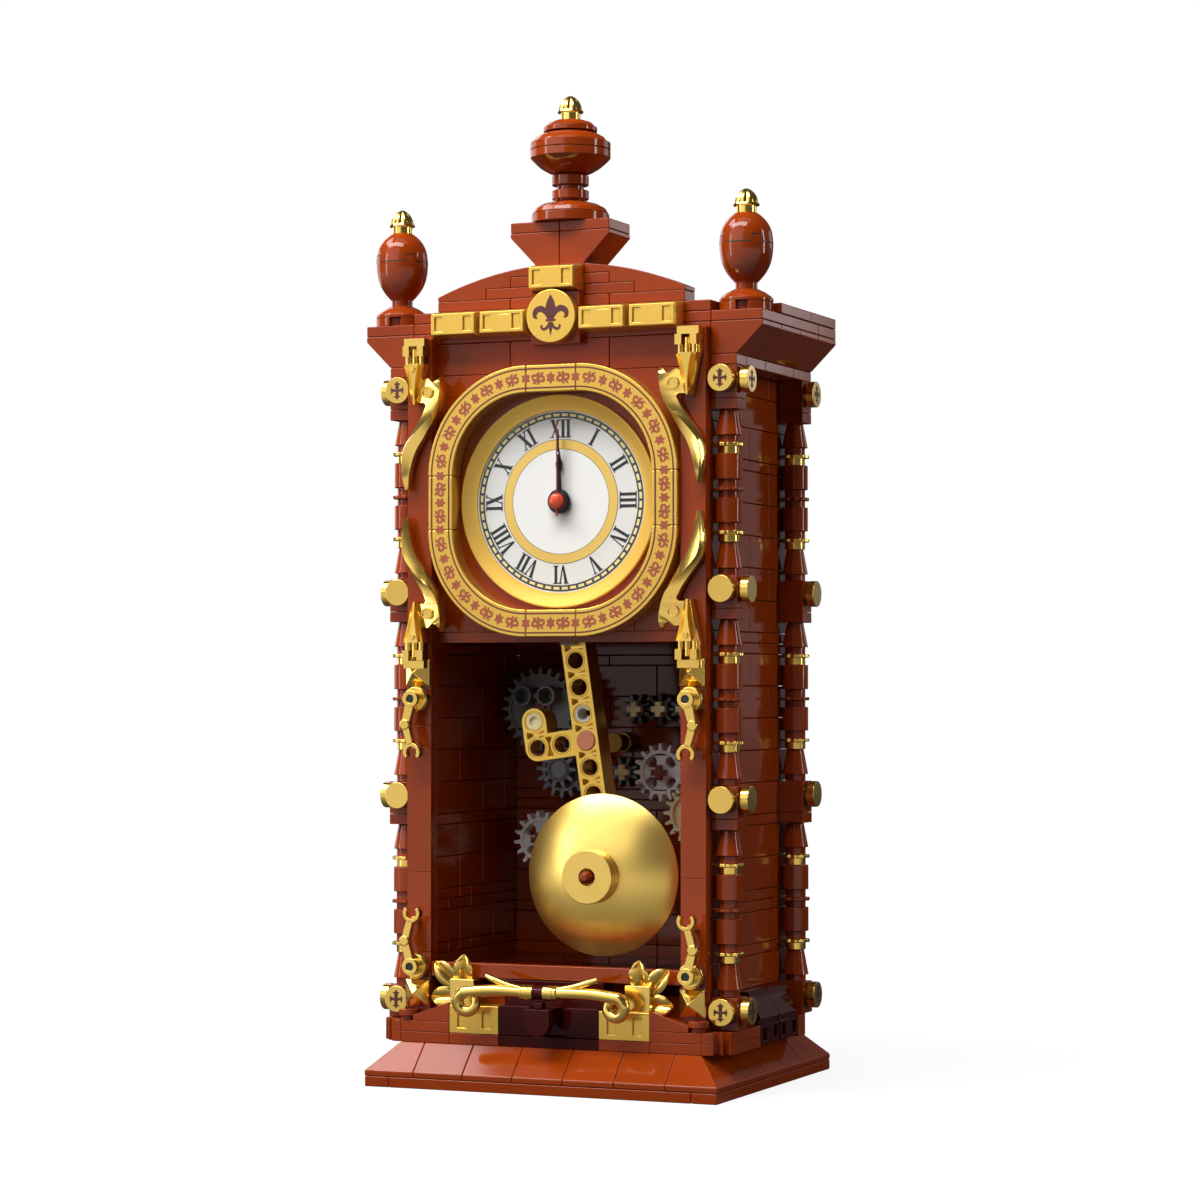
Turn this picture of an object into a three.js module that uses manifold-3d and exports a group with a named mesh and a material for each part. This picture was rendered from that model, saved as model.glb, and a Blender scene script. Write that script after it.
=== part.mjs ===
// A brick-built mantel clock with a swinging pendulum, open gears and gilt ornaments.
// Millimetres, +Z up, the dial faces -Y, and the origin is the middle of the underside.
import * as THREE from 'three';
import { mergeVertices } from 'three/addons/utils/BufferGeometryUtils.js';
import Module from 'manifold-3d';

// The brick grid that every piece of the case follows.
const STUD = 8;
const PLATE = 3.2;
const BRICK = 3 * PLATE;
const CLEARANCE = 0.3;

// Heights of the courses.
const BASE_PLATE_TOP = PLATE;
const SKIRT_TOP = 4 * PLATE;
const PLINTH_STEP = 5 * PLATE;
const PLINTH_TOP = 6 * PLATE;
const WALL_FOOT = 9 * PLATE;
const FLOOR_TOP = 11 * PLATE;
const SILL_FOOT = 10 * PLATE;
const SILL_TOP = 11.4 * PLATE;
const LINTEL_FOOT = 41 * PLATE;
const DIAL_Z = 54 * PLATE;
const CASE_TOP = 66 * PLATE;
const CORBEL_FOOT = 67 * PLATE;
const CORBEL_TOP = 69.5 * PLATE;
const CORNICE_TOP = 71 * PLATE;
const ROOF_TOP = 72 * PLATE;
const ARCH_END = 73.4 * PLATE;
const PEDESTAL_FOOT = 76 * PLATE;
const PEDESTAL_FLARE = 78.6 * PLATE;
const PEDESTAL_TOP = 80 * PLATE;

const GLOBE_HEIGHT = 31;

// Half widths and depths.
const BASE_HALF_W = 7 * STUD;
const BASE_HALF_D = 6 * STUD;
const SKIRT_RUN = STUD;
const CASE_HALF_W = 6 * STUD;
const CAVITY_HALF_W = 5 * STUD;
const CORNICE_HALF_W = 8 * STUD;
const PLINTH_FRONT = -5 * STUD;
const CASE_FRONT = -4 * STUD;
const CASE_BACK = 4 * STUD;
const BACK_WALL_FRONT = 3 * STUD;
const PILASTER_FRONT = CASE_FRONT - STUD / 2;
const FINIAL_Y = -3 * STUD;

// Aprons at the foot of the case, with the shield tile and the bow handle.
const APRON_HALF = 4 * STUD;
const SIDE_APRON_Y0 = -1.6 * STUD;
const SIDE_APRON_Y1 = 2.4 * STUD;
const SHIELD_FRONT = PLINTH_FRONT - STUD;
const HANDLE_Y = PLINTH_FRONT - 0.75 * STUD;
const HANDLE_Z = PLINTH_TOP + 3.2 * PLATE;
const HANDLE_BAR = 1.5;
const COLLAR_RADIUS = 2.4;
const CURL_RADIUS = 2.6;

// Columns.
const COLUMN_X = CASE_HALF_W + STUD / 2;
const COLUMN_Y = 3.5 * STUD;
const COLUMN_SIDES = 8;
const BLOCK_PITCH = 19 * PLATE;
const BLOCK_COUNT = 4;
const DISC_RADIUS = STUD / 2;
const DISC_RISE = 1.75 * PLATE;

// Dial and bezel.
const BEZEL_HALF = 5 * STUD;
const BEZEL_BAND = STUD;
const BEZEL_CORNER = 4 * STUD;
const BEZEL_DEPTH = 2 * PLATE;
const BOARD_DEPTH = 1.5 * PLATE;
const DIAL_RADIUS = 29.2;
const DIAL_THICKNESS = 1.6;
const DIAL_FACE = CASE_FRONT + 1;
const DISH_RADIUS = BEZEL_HALF - BEZEL_BAND - 0.5;
const DISH_LIP = 2.2;
const DISH_BORE = DIAL_RADIUS - DISH_LIP;
const DISH_RISE = 1.2;
const DISH_EDGE = 0.6;
const MOVEMENT_HALF = 20;
const MOVEMENT_DEPTH = 14;

// Frieze above the dial.
const INGOT_Z = CORNICE_TOP - 0.35 * PLATE;
const MEDALLION_Z = CORNICE_TOP - 0.05 * PLATE;
const TOP_INGOT_Z = PEDESTAL_FOOT - 1.45 * PLATE;
const INGOT_FACE = CASE_FRONT - BEZEL_DEPTH;

// Hook arms, mirrored about one height.
const HOOK_MIRROR_Z = 23.4 * PLATE;
const HOOK_BOSS_RISE = 12.4 * PLATE;

// Hands, stacked on three nested arbors.
const HAND_THICKNESS = 0.5;
const HAND_STEP = 0.9;
const HOUR_LENGTH = 14.5;
const MINUTE_LENGTH = 21.5;
const SECOND_LENGTH = 23.5;
const SECOND_PIN_RADIUS = 0.5;
const ARBOR_WALL = 0.5;
const ARBOR_REACH = 3;
const MINUTE_BORE = SECOND_PIN_RADIUS + CLEARANCE;
const MINUTE_PIPE = MINUTE_BORE + ARBOR_WALL;
const HOUR_BORE = MINUTE_PIPE + CLEARANCE;
const HOUR_PIPE = HOUR_BORE + ARBOR_WALL;
const DIAL_BORE = HOUR_PIPE + CLEARANCE;

// Pendulum.
const PIVOT_Z = LINTEL_FOOT + 2.65;
const PENDULUM_LEAN = THREE.MathUtils.degToRad(8.4);
const BEAM_FRONT = -23;
const BEAM_DEPTH = STUD;
const BEAM_PITCH = STUD;
const BEAM_HOLE_RADIUS = 2.5;
const BEAM_LAST_HOLE = 9;
const ARM_HOLE = 4;
const PIVOT_PIN_RADIUS = BEAM_HOLE_RADIUS - CLEARANCE;
const PIVOT_COLLAR = PIVOT_PIN_RADIUS + 1.4;
const PIVOT_TAIL = 1.6;
const BOB_RADIUS = 3 * STUD;
const BOB_STANDOFF = 1;
const BOB_RIM = BEAM_FRONT - BOB_STANDOFF;
const BOB_RISE = 7;
const BOB_WALL = 1.6;
const BOB_LIP = 0.6;
const HUB_RADIUS = STUD;
const HUB_REACH = 13;
const HUB_FACE = BEAM_FRONT - HUB_REACH;

// Gears: the pitch radius is half the tooth count times the module.
const GEAR_MODULE = 1;
const GEAR_FRONT = 0.9 * STUD;
const GEAR_WIDTH = 4.4;
const AXLE_RADIUS = 2.3;
const AXLE_BORE = AXLE_RADIUS + 1.5 * CLEARANCE;
const AXLE_INSET = 6;
const TUBE_RADIUS = 3.1;
const TUBE_BORE = 2.3;
const TUBE_REACH = 5;
const HUB_STEP = 0.6;
const AXLE_NOSE = 2;
const FRONT_GEAR_REACH = 3;
const LIGHTENING_RADIUS = 1.6;
const LIGHTENING_REACH = 4.4;
const ROW_TOP_Z = 34.8 * PLATE;
const ROW_MID_Z = 28.8 * PLATE;
const ROW_LOW_Z = 22.2 * PLATE;

const BROWN = new THREE.MeshStandardMaterial({ color: 0x8a3a1c, roughness: 0.3, metalness: 0 });
const DARK_BROWN = new THREE.MeshStandardMaterial({ color: 0x2c0d0e, roughness: 0.25, metalness: 0 });
const GOLD = new THREE.MeshStandardMaterial({ color: 0xc9a54a, roughness: 0.32, metalness: 0.9 });
const BLACK = new THREE.MeshStandardMaterial({ color: 0x17181a, roughness: 0.4, metalness: 0 });
const DARK_GREY = new THREE.MeshStandardMaterial({ color: 0x3b3d40, roughness: 0.4, metalness: 0 });
const LIGHT_GREY = new THREE.MeshStandardMaterial({ color: 0xa3a5a6, roughness: 0.4, metalness: 0 });
const TAN = new THREE.MeshStandardMaterial({ color: 0xdcc484, roughness: 0.4, metalness: 0 });
const WHITE = new THREE.MeshStandardMaterial({ color: 0xf2efe6, roughness: 0.5, metalness: 0 });
const RED = new THREE.MeshStandardMaterial({ color: 0xb5301c, roughness: 0.4, metalness: 0 });

const wasm = await Module();
wasm.setup();

// One closed indexed mesh with only positions, no empty triangles, and faces that point out.
function welded(source) {
  const bare = source.clone();
  for (const name of Object.keys(bare.attributes)) {
    if (name !== 'position') bare.deleteAttribute(name);
  }
  const merged = mergeVertices(bare, 1e-4);
  const corner = (vertex) => new THREE.Vector3().fromBufferAttribute(merged.attributes.position, vertex);
  const old = merged.index.array;
  const kept = [];
  let volume = 0;
  for (let i = 0; i < old.length; i += 3) {
    const [a, b, c] = [old[i], old[i + 1], old[i + 2]];
    if (a === b || b === c || c === a) continue;
    kept.push([a, b, c]);
    volume += corner(a).dot(corner(b).cross(corner(c)));
  }
  merged.setIndex(kept.flatMap(([a, b, c]) => (volume < 0 ? [a, c, b] : [a, b, c])));
  return merged;
}

function toSolid(geometry) {
  const mesh = welded(geometry);
  return new wasm.Manifold(new wasm.Mesh({
    numProp: 3,
    vertProperties: new Float32Array(mesh.attributes.position.array),
    triVerts: new Uint32Array(mesh.index.array),
  }));
}

function toGeometry(solid) {
  const mesh = solid.getMesh();
  const geometry = new THREE.BufferGeometry();
  geometry.setAttribute('position', new THREE.BufferAttribute(new Float32Array(mesh.vertProperties), 3));
  geometry.setIndex([...mesh.triVerts]);
  return geometry;
}

function join(first, ...others) {
  return toGeometry(others.reduce((solid, other) => solid.add(toSolid(other)), toSolid(first)));
}

function cut(first, ...tools) {
  return toGeometry(tools.reduce((solid, tool) => solid.subtract(toSolid(tool)), toSolid(first)));
}

function box(x0, x1, y0, y1, z0, z1) {
  const geometry = new THREE.BoxGeometry(x1 - x0, y1 - y0, z1 - z0);
  return geometry.translate((x0 + x1) / 2, (y0 + y1) / 2, (z0 + z1) / 2);
}

function shapeOf(points) {
  return new THREE.Shape(points.map(([u, v]) => new THREE.Vector2(u, v)));
}

// An outline in X and Z pushed along Y.
function prismY(shape, y0, y1, curveSegments = 8) {
  const settings = { depth: y1 - y0, bevelEnabled: false, curveSegments };
  return new THREE.ExtrudeGeometry(shape, settings).rotateX(Math.PI / 2).translate(0, y1, 0);
}

// An outline in X and Y pushed along Z.
function prismZ(shape, z0, z1, curveSegments = 5) {
  const settings = { depth: z1 - z0, bevelEnabled: false, curveSegments };
  return new THREE.ExtrudeGeometry(shape, settings).translate(0, 0, z0);
}

// An outline in Y and Z pushed along X.
function prismX(shape, x0, x1) {
  const geometry = new THREE.ExtrudeGeometry(shape, { depth: x1 - x0, bevelEnabled: false });
  return geometry.rotateX(Math.PI / 2).rotateZ(Math.PI / 2).translate(x0, 0, 0);
}

// A profile of [radius, height] pairs turned about the vertical axis at x, y.
function turnedZ(profile, x, y, sides) {
  const points = profile.map(([radius, height]) => new THREE.Vector2(radius, height));
  return new THREE.LatheGeometry(points, sides).rotateX(Math.PI / 2).translate(x, y, 0);
}

// A profile of [radius, depth] pairs turned about the fore-and-aft axis at x, z.
function turnedY(profile, x, z, sides) {
  const points = profile.map(([radius, depth]) => new THREE.Vector2(radius, depth));
  return new THREE.LatheGeometry(points, sides).translate(x, 0, z);
}

function discY(x, z, radius, y0, y1, sides = 16) {
  return new THREE.CylinderGeometry(radius, radius, y1 - y0, sides).translate(x, (y0 + y1) / 2, z);
}

function discX(y, z, radius, x0, x1, sides = 16) {
  const geometry = new THREE.CylinderGeometry(radius, radius, x1 - x0, sides).rotateZ(Math.PI / 2);
  return geometry.translate((x0 + x1) / 2, y, z);
}

function discZ(x, y, radius, z0, z1, sides = 16) {
  const geometry = new THREE.CylinderGeometry(radius, radius, z1 - z0, sides).rotateX(Math.PI / 2);
  return geometry.translate(x, y, (z0 + z1) / 2);
}

// A round bar along a smooth curve through the given points.
function bar(points, radius, sides, steps) {
  const path = new THREE.CatmullRomCurve3(points.map(([x, y, z]) => new THREE.Vector3(x, y, z)));
  const section = new THREE.Shape();
  for (let i = 0; i < sides; i += 1) {
    const angle = (2 * Math.PI * i) / sides;
    const corner = [radius * Math.cos(angle), radius * Math.sin(angle)];
    if (i === 0) section.moveTo(...corner);
    else section.lineTo(...corner);
  }
  return new THREE.ExtrudeGeometry(section, { steps, extrudePath: path, bevelEnabled: false });
}

// A skin over rings of the same number of points, closed at both ends.
function loft(rings) {
  const count = rings[0].length;
  const index = [];
  for (let ring = 0; ring + 1 < rings.length; ring += 1) {
    for (let i = 0; i < count; i += 1) {
      const next = (i + 1) % count;
      const [a, b] = [ring * count + i, ring * count + next];
      index.push(a, b, b + count, a, b + count, a + count);
    }
  }
  const last = (rings.length - 1) * count;
  for (let i = 1; i + 1 < count; i += 1) {
    index.push(0, i + 1, i, last, last + i, last + i + 1);
  }
  const geometry = new THREE.BufferGeometry();
  geometry.setAttribute('position', new THREE.Float32BufferAttribute(rings.flat(2), 3));
  geometry.setIndex(index);
  return geometry;
}

function ringZ(halfW, halfD, z) {
  return [[-halfW, -halfD, z], [halfW, -halfD, z], [halfW, halfD, z], [-halfW, halfD, z]];
}

function ringY(x, z, halfW, halfH, y) {
  return [
    [x - halfW, y, z - halfH], [x + halfW, y, z - halfH],
    [x + halfW, y, z + halfH], [x - halfW, y, z + halfH],
  ];
}

function roundedRect(x0, x1, y0, y1, radius) {
  const shape = new THREE.Shape();
  shape.moveTo(x0 + radius, y0);
  shape.lineTo(x1 - radius, y0);
  shape.absarc(x1 - radius, y0 + radius, radius, -Math.PI / 2, 0);
  shape.lineTo(x1, y1 - radius);
  shape.absarc(x1 - radius, y1 - radius, radius, 0, Math.PI / 2);
  shape.lineTo(x0 + radius, y1);
  shape.absarc(x0 + radius, y1 - radius, radius, Math.PI / 2, Math.PI);
  shape.lineTo(x0, y0 + radius);
  shape.absarc(x0 + radius, y0 + radius, radius, Math.PI, 1.5 * Math.PI);
  return shape;
}

function mirrored(geometry, flipX, flipZ, centreZ) {
  const copy = geometry.clone().translate(0, 0, -centreZ);
  return copy.scale(flipX ? -1 : 1, 1, flipZ ? -1 : 1).translate(0, 0, centreZ);
}

const clock = new THREE.Group();
const sides = [['left', -1], ['right', 1]];

function add(parent, name, geometry, material) {
  const mesh = new THREE.Mesh(welded(geometry), material);
  mesh.name = name;
  parent.add(mesh);
  return mesh;
}

// Base: a flat plate, a skirt of sloped tiles and a plinth with rounded corners.
const basePlate = box(-BASE_HALF_W, BASE_HALF_W, -BASE_HALF_D, BASE_HALF_D, 0, BASE_PLATE_TOP);
add(clock, 'base_plate', basePlate, BROWN);
add(clock, 'base_skirt', loft([
  ringZ(BASE_HALF_W, BASE_HALF_D, BASE_PLATE_TOP),
  ringZ(BASE_HALF_W, BASE_HALF_D, BASE_PLATE_TOP + PLATE / 2),
  ringZ(BASE_HALF_W - SKIRT_RUN, BASE_HALF_D - SKIRT_RUN, SKIRT_TOP),
]), BROWN);

function plinth() {
  const outline = roundedRect(-BASE_HALF_W, BASE_HALF_W, PLINTH_FRONT, CASE_BACK, STUD);
  const slab = prismZ(outline, SKIRT_TOP, PLINTH_TOP);
  const frontStep = box(-APRON_HALF, APRON_HALF, PLINTH_FRONT - 1, CASE_FRONT, PLINTH_STEP, PLINTH_TOP + 1);
  const sideSteps = sides.map(([, sign]) => {
    const edge = [CASE_HALF_W * sign, (BASE_HALF_W + 1) * sign].sort((a, b) => a - b);
    return box(...edge, SIDE_APRON_Y0, SIDE_APRON_Y1, SKIRT_TOP - 1, PLINTH_TOP + 1);
  });
  const trims = sides.flatMap(([, sign]) => {
    const wedge = shapeOf([
      [APRON_HALF * sign, PLINTH_TOP - 1],
      [5.5 * STUD * sign, PLINTH_TOP - 1],
      [5.5 * STUD * sign, PLINTH_TOP + PLATE / 2],
      [APRON_HALF * sign, PLINTH_TOP + 1.8 * PLATE],
    ]);
    const studX = 5.8 * STUD * sign;
    const stud = discZ(studX, PLINTH_FRONT + STUD / 4, 0.25 * STUD, PLINTH_TOP - 1, PLINTH_TOP + PLATE, 8);
    return [prismY(wedge, PLINTH_FRONT, PILASTER_FRONT - CLEARANCE), stud];
  });
  return join(cut(slab, frontStep, ...sideSteps), ...trims);
}
add(clock, 'plinth', plinth(), BROWN);

// Side aprons: slotted bars below steep slope tiles, between the columns.
for (const [side, sign] of sides) {
  const outline = shapeOf([
    [CASE_HALF_W * sign, SKIRT_TOP + 0.2 * PLATE],
    [BASE_HALF_W * sign, SKIRT_TOP + 0.2 * PLATE],
    [BASE_HALF_W * sign, PLINTH_TOP],
    [(BASE_HALF_W - 1.2) * sign, PLINTH_TOP],
    [(BASE_HALF_W - 1.2) * sign, PLINTH_TOP + 0.45 * PLATE],
    [BASE_HALF_W * sign, PLINTH_TOP + 0.45 * PLATE],
    [(CASE_HALF_W + STUD / 2) * sign, WALL_FOOT],
    [CASE_HALF_W * sign, WALL_FOOT],
  ]);
  add(clock, `side_apron_${side}`, prismY(outline, SIDE_APRON_Y0, SIDE_APRON_Y1), DARK_BROWN);
}

// Case: solid foot, floor, walls, back and pilasters.
add(clock, 'lower_case', box(-CASE_HALF_W, CASE_HALF_W, CASE_FRONT, CASE_BACK, PLINTH_TOP, WALL_FOOT), BROWN);
add(clock, 'floor_and_sill', prismX(shapeOf([
  [CASE_FRONT, WALL_FOOT], [BACK_WALL_FRONT, WALL_FOOT],
  [BACK_WALL_FRONT, FLOOR_TOP], [CASE_FRONT, FLOOR_TOP],
  [CASE_FRONT, SILL_TOP], [PILASTER_FRONT, SILL_TOP],
  [PILASTER_FRONT, SILL_FOOT], [CASE_FRONT, SILL_FOOT],
]), -CAVITY_HALF_W, CAVITY_HALF_W), BROWN);
for (const [side, sign] of sides) {
  const span = [CAVITY_HALF_W * sign, CASE_HALF_W * sign].sort((a, b) => a - b);
  add(clock, `wall_${side}`, box(...span, CASE_FRONT, CASE_BACK, WALL_FOOT, CASE_TOP), BROWN);
  const shaft = box(...span, PILASTER_FRONT, CASE_FRONT, PLINTH_TOP, CORBEL_TOP);
  const half = STUD / 2;
  const pyramids = [DIAL_Z - 6.31 * STUD, PLINTH_TOP + 2.5 * PLATE].map((z) => loft([
    ringY(COLUMN_X * sign - STUD * sign, z, half - 0.1, half - 0.1, PILASTER_FRONT + 1),
    ringY(COLUMN_X * sign - STUD * sign, z, half - 0.1, half - 0.1, PILASTER_FRONT - 1),
    ringY(COLUMN_X * sign - STUD * sign, z, 0.15, 0.15, PILASTER_FRONT - 5),
  ]));
  add(clock, `pilaster_${side}`, join(shaft, ...pyramids), BROWN);
}

// Apron front: dark blocks, a shield tile on a bracket, and gold blocks with leaves at each side.
function apronPanel() {
  const foot = PLINTH_STEP;
  const top = foot + BRICK - PLATE / 4;
  const board = box(-2 * STUD, 2 * STUD, PLINTH_FRONT + STUD / 2, CASE_FRONT, foot, SILL_FOOT);
  const blocks = sides.map(([, sign]) => {
    const outline = [0.7 * STUD * sign, 2 * STUD * sign].sort((a, b) => a - b);
    return box(...outline, PLINTH_FRONT, CASE_FRONT - 1, foot, top);
  });
  const shield = new THREE.Shape();
  const half = STUD / 2;
  shield.moveTo(-half, top);
  shield.lineTo(-half, foot + half + PLATE / 4);
  shield.absarc(0, foot + half + PLATE / 4, half, Math.PI, 2 * Math.PI);
  shield.lineTo(half, top);
  const bracket = box(-half + 1, half - 1, SHIELD_FRONT + 1, CASE_FRONT - 1, foot + half, top);
  const clipTop = HANDLE_Z - COLLAR_RADIUS - CLEARANCE;
  const clip = box(-HANDLE_BAR, HANDLE_BAR, HANDLE_Y - HANDLE_BAR, HANDLE_Y + HANDLE_BAR, top - 1, clipTop);
  return join(board, ...blocks, bracket, clip, prismY(shield, SHIELD_FRONT, SHIELD_FRONT + PLATE));
}
add(clock, 'apron_panel', apronPanel(), DARK_BROWN);

// A pointed leaf that leans out from its root in the direction given, in the plane of the front.
function leaf(x, z, angle, length, width) {
  const stations = [[0, 0.35], [0.3, 0.9], [0.6, 1], [0.85, 0.55], [1, 0.08]];
  const rings = stations.map(([along, spread]) => {
    const half = (width / 2) * spread;
    const [cx, cz] = [x + Math.cos(angle) * length * along, z + Math.sin(angle) * length * along];
    const [nx, nz] = [-Math.sin(angle) * half, Math.cos(angle) * half];
    const y = PLINTH_FRONT + 1 - 2.5 * Math.sin(Math.PI * along);
    return [
      [cx - nx, y, cz - nz], [cx, y - 1.1 * spread, cz],
      [cx + nx, y, cz + nz], [cx, y + 1.2 * spread, cz],
    ];
  });
  return loft(rings);
}

for (const [side, sign] of sides) {
  const x = (studs) => studs * STUD * sign;
  const span = (a, b) => [x(a), x(b)].sort((p, q) => p - q);
  const foot = PLINTH_STEP;
  const step = foot + 2.6 * PLATE;
  const top = foot + 5 * PLATE;
  const barBlock = box(...span(2, 4), PLINTH_FRONT, CASE_FRONT, foot, step);
  const cube = box(...span(3, 4), PLINTH_FRONT, CASE_FRONT, step - 1, top);
  const slots = [2.3, 3.3].map((at) => box(
    ...span(at, at + 0.4), PLINTH_FRONT - 1, PLINTH_FRONT + 0.6, foot + 1.8, step - 1.8,
  ));
  const outward = sign > 0 ? 0 : Math.PI;
  const lean = (degrees) => outward + sign * THREE.MathUtils.degToRad(degrees);
  const leaves = [
    leaf(x(3.75), top - 2.5, lean(-35), STUD, 5),
    leaf(x(3.6), top - 2, lean(52), 1.15 * STUD, 5.4),
    leaf(x(3.3), top - 1.5, lean(104), STUD, 5),
  ];
  add(clock, `apron_block_${side}`, join(cut(barBlock, ...slots), cube, ...leaves), GOLD);
}

// Bow handle: a round bar that ends in two curls, with collars and two small branches.
function handle() {
  const curlX = 2.95 * STUD;
  const curlZ = HANDLE_Z - 1.25 * PLATE;
  const half = [];
  for (let turn = 0; turn <= 300; turn += 30) {
    const angle = THREE.MathUtils.degToRad(90 - turn);
    half.push([
      curlX + CURL_RADIUS * Math.cos(angle),
      HANDLE_Y + 1.4 * (turn / 300),
      curlZ + CURL_RADIUS * Math.sin(angle),
    ]);
  }
  const arc = [[0.8 * STUD, HANDLE_Y, HANDLE_Z], [2.1 * STUD, HANDLE_Y, HANDLE_Z + 0.1], ...half];
  const flip = ([px, py, pz]) => [-px, py, pz];
  const whole = bar([...arc.map(flip).reverse(), ...arc], HANDLE_BAR, 6, 32);
  const collar = discX(HANDLE_Y, HANDLE_Z, COLLAR_RADIUS, -0.62 * STUD, 0.62 * STUD, 10);
  const branches = sides.map(([, sign]) => bar([
    [0.9 * STUD * sign, HANDLE_Y, HANDLE_Z + 0.2],
    [1.6 * STUD * sign, HANDLE_Y + 0.6, HANDLE_Z + 2],
    [2.2 * STUD * sign, HANDLE_Y + 1.4, HANDLE_Z + 4.4],
  ], 1, 5, 4));
  return join(whole, collar, ...branches);
}
add(clock, 'handle', handle(), GOLD);

// Columns: square blocks with round discs, and between them cones, round bricks and ring plates.
function column(signX, front) {
  const [x, y] = [COLUMN_X * signX, front ? -COLUMN_Y : COLUMN_Y];
  const [neck, wide, slim, ring] = [0.36 * STUD, 0.47 * STUD, 0.33 * STUD, 0.49 * STUD];
  const section = [
    [neck, 0], [wide, 0.6], [slim, 3.1], [ring, 3.5], [ring, 4], [neck, 4.3], [ring, 7.5],
    [ring, 8], [neck, 8.3], [ring, 11.5], [ring, 12], [wide, 12.6], [slim, 15],
  ];
  const profile = [[0, PLINTH_TOP + PLATE], [neck, PLINTH_TOP + PLATE]];
  for (let k = 0; k + 1 < BLOCK_COUNT; k += 1) {
    const foot = PLINTH_TOP + BLOCK_PITCH * k + BRICK;
    profile.push(...section.map(([radius, plates]) => [radius, foot + plates * PLATE]));
  }
  profile.push([slim, CASE_TOP - PLATE], [0, CASE_TOP - PLATE]);
  const half = STUD / 2;
  const pieces = [];
  for (let k = 0; k < BLOCK_COUNT; k += 1) {
    const foot = PLINTH_TOP + BLOCK_PITCH * k;
    const axis = foot + DISC_RISE;
    pieces.push(box(x - half, x + half, y - half, y + half, k ? foot - PLATE : foot, foot + BRICK));
    const [inner, outer] = [x, x + (half + PLATE) * signX].sort((a, b) => a - b);
    pieces.push(discX(y, axis, DISC_RADIUS - 0.05, inner, outer, 8));
    if (front) pieces.push(discY(x, axis, DISC_RADIUS - 0.05, y - half - PLATE, y, 8));
  }
  return join(turnedZ(profile, x, y, COLUMN_SIDES), ...pieces);
}
for (const [side, sign] of sides) {
  add(clock, `column_front_${side}`, column(sign, true), BROWN);
  add(clock, `column_back_${side}`, column(sign, false), BROWN);
}

// Head of the case: cornice on inverted slopes, roof tiles, curved pediment and its pedestal.
add(clock, 'cornice', prismY(shapeOf([
  [-BASE_HALF_W, CASE_TOP], [BASE_HALF_W, CASE_TOP], [BASE_HALF_W, CORBEL_FOOT],
  [CORNICE_HALF_W, CORBEL_TOP], [CORNICE_HALF_W, CORNICE_TOP],
  [-CORNICE_HALF_W, CORNICE_TOP], [-CORNICE_HALF_W, CORBEL_TOP], [-BASE_HALF_W, CORBEL_FOOT],
]), CASE_FRONT, CASE_BACK), BROWN);
add(clock, 'roof_tiles', prismZ(shapeOf([
  [-6 * STUD, CASE_FRONT], [6 * STUD, CASE_FRONT], [6 * STUD, -2 * STUD],
  [CORNICE_HALF_W, -2 * STUD], [CORNICE_HALF_W, CASE_BACK],
  [-CORNICE_HALF_W, CASE_BACK], [-CORNICE_HALF_W, -2 * STUD], [-6 * STUD, -2 * STUD],
]), CORNICE_TOP, ROOF_TOP), BROWN);

function pediment() {
  const halfSpan = 5 * STUD;
  const rise = PEDESTAL_FOOT - ARCH_END;
  const radius = (halfSpan * halfSpan + rise * rise) / (2 * rise);
  const spread = Math.asin(halfSpan / radius);
  const outline = new THREE.Shape();
  outline.moveTo(-halfSpan, ROOF_TOP);
  outline.lineTo(halfSpan, ROOF_TOP);
  outline.lineTo(halfSpan, ARCH_END);
  outline.absarc(0, PEDESTAL_FOOT - radius, radius, Math.PI / 2 - spread, Math.PI / 2 + spread);
  outline.lineTo(-halfSpan, ROOF_TOP);
  const arch = prismY(outline, CASE_FRONT, CASE_FRONT + STUD, 20);
  const seat = PEDESTAL_FOOT - PLATE / 4;
  return cut(arch, box(-STUD, STUD, CASE_FRONT - 1, CASE_FRONT + STUD + 1, seat, PEDESTAL_FOOT + 1));
}
add(clock, 'pediment', pediment(), BROWN);
const pedestalFlare = prismY(shapeOf([
  [-STUD, PEDESTAL_FOOT - PLATE / 4], [STUD, PEDESTAL_FOOT - PLATE / 4], [STUD, PEDESTAL_FOOT],
  [2 * STUD, PEDESTAL_FLARE], [2 * STUD, PEDESTAL_TOP],
  [-2 * STUD, PEDESTAL_TOP], [-2 * STUD, PEDESTAL_FLARE], [-STUD, PEDESTAL_FOOT],
]), CASE_FRONT, -2 * STUD);
const pedestalBack = box(-STUD, STUD, CASE_FRONT + STUD, -2 * STUD, ROOF_TOP, PEDESTAL_FOOT);
add(clock, 'finial_pedestal', join(pedestalFlare, pedestalBack), BROWN);

// Frieze: gold bars either side of the medallion plate and one above it.
function ingot(x, z) {
  const body = loft([
    ringY(x, z, STUD, STUD / 2, CASE_FRONT),
    ringY(x, z, STUD, STUD / 2, CASE_FRONT - PLATE / 2),
    ringY(x, z, STUD - 0.5, STUD / 2 - 0.5, INGOT_FACE),
  ]);
  const slots = [-1, 1].map((sign) => {
    const centre = x + 0.6 * STUD * sign;
    return box(centre - 1.1, centre + 1.1, INGOT_FACE - 1, INGOT_FACE + 0.6, z - 2.2, z + 2.2);
  });
  return cut(body, ...slots);
}
const medallionPlate = box(
  -STUD, STUD, CASE_FRONT - PLATE, CASE_FRONT, MEDALLION_Z - STUD, TOP_INGOT_Z - STUD / 2 + 1,
);
add(clock, 'frieze_bars', join(
  medallionPlate, ...[-4, -2, 2, 4].map((studs) => ingot(studs * STUD, INGOT_Z)), ingot(0, TOP_INGOT_Z),
), GOLD);
add(clock, 'medallion', discY(0, MEDALLION_Z, STUD - 0.4, INGOT_FACE, CASE_FRONT - PLATE, 28), GOLD);

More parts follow.
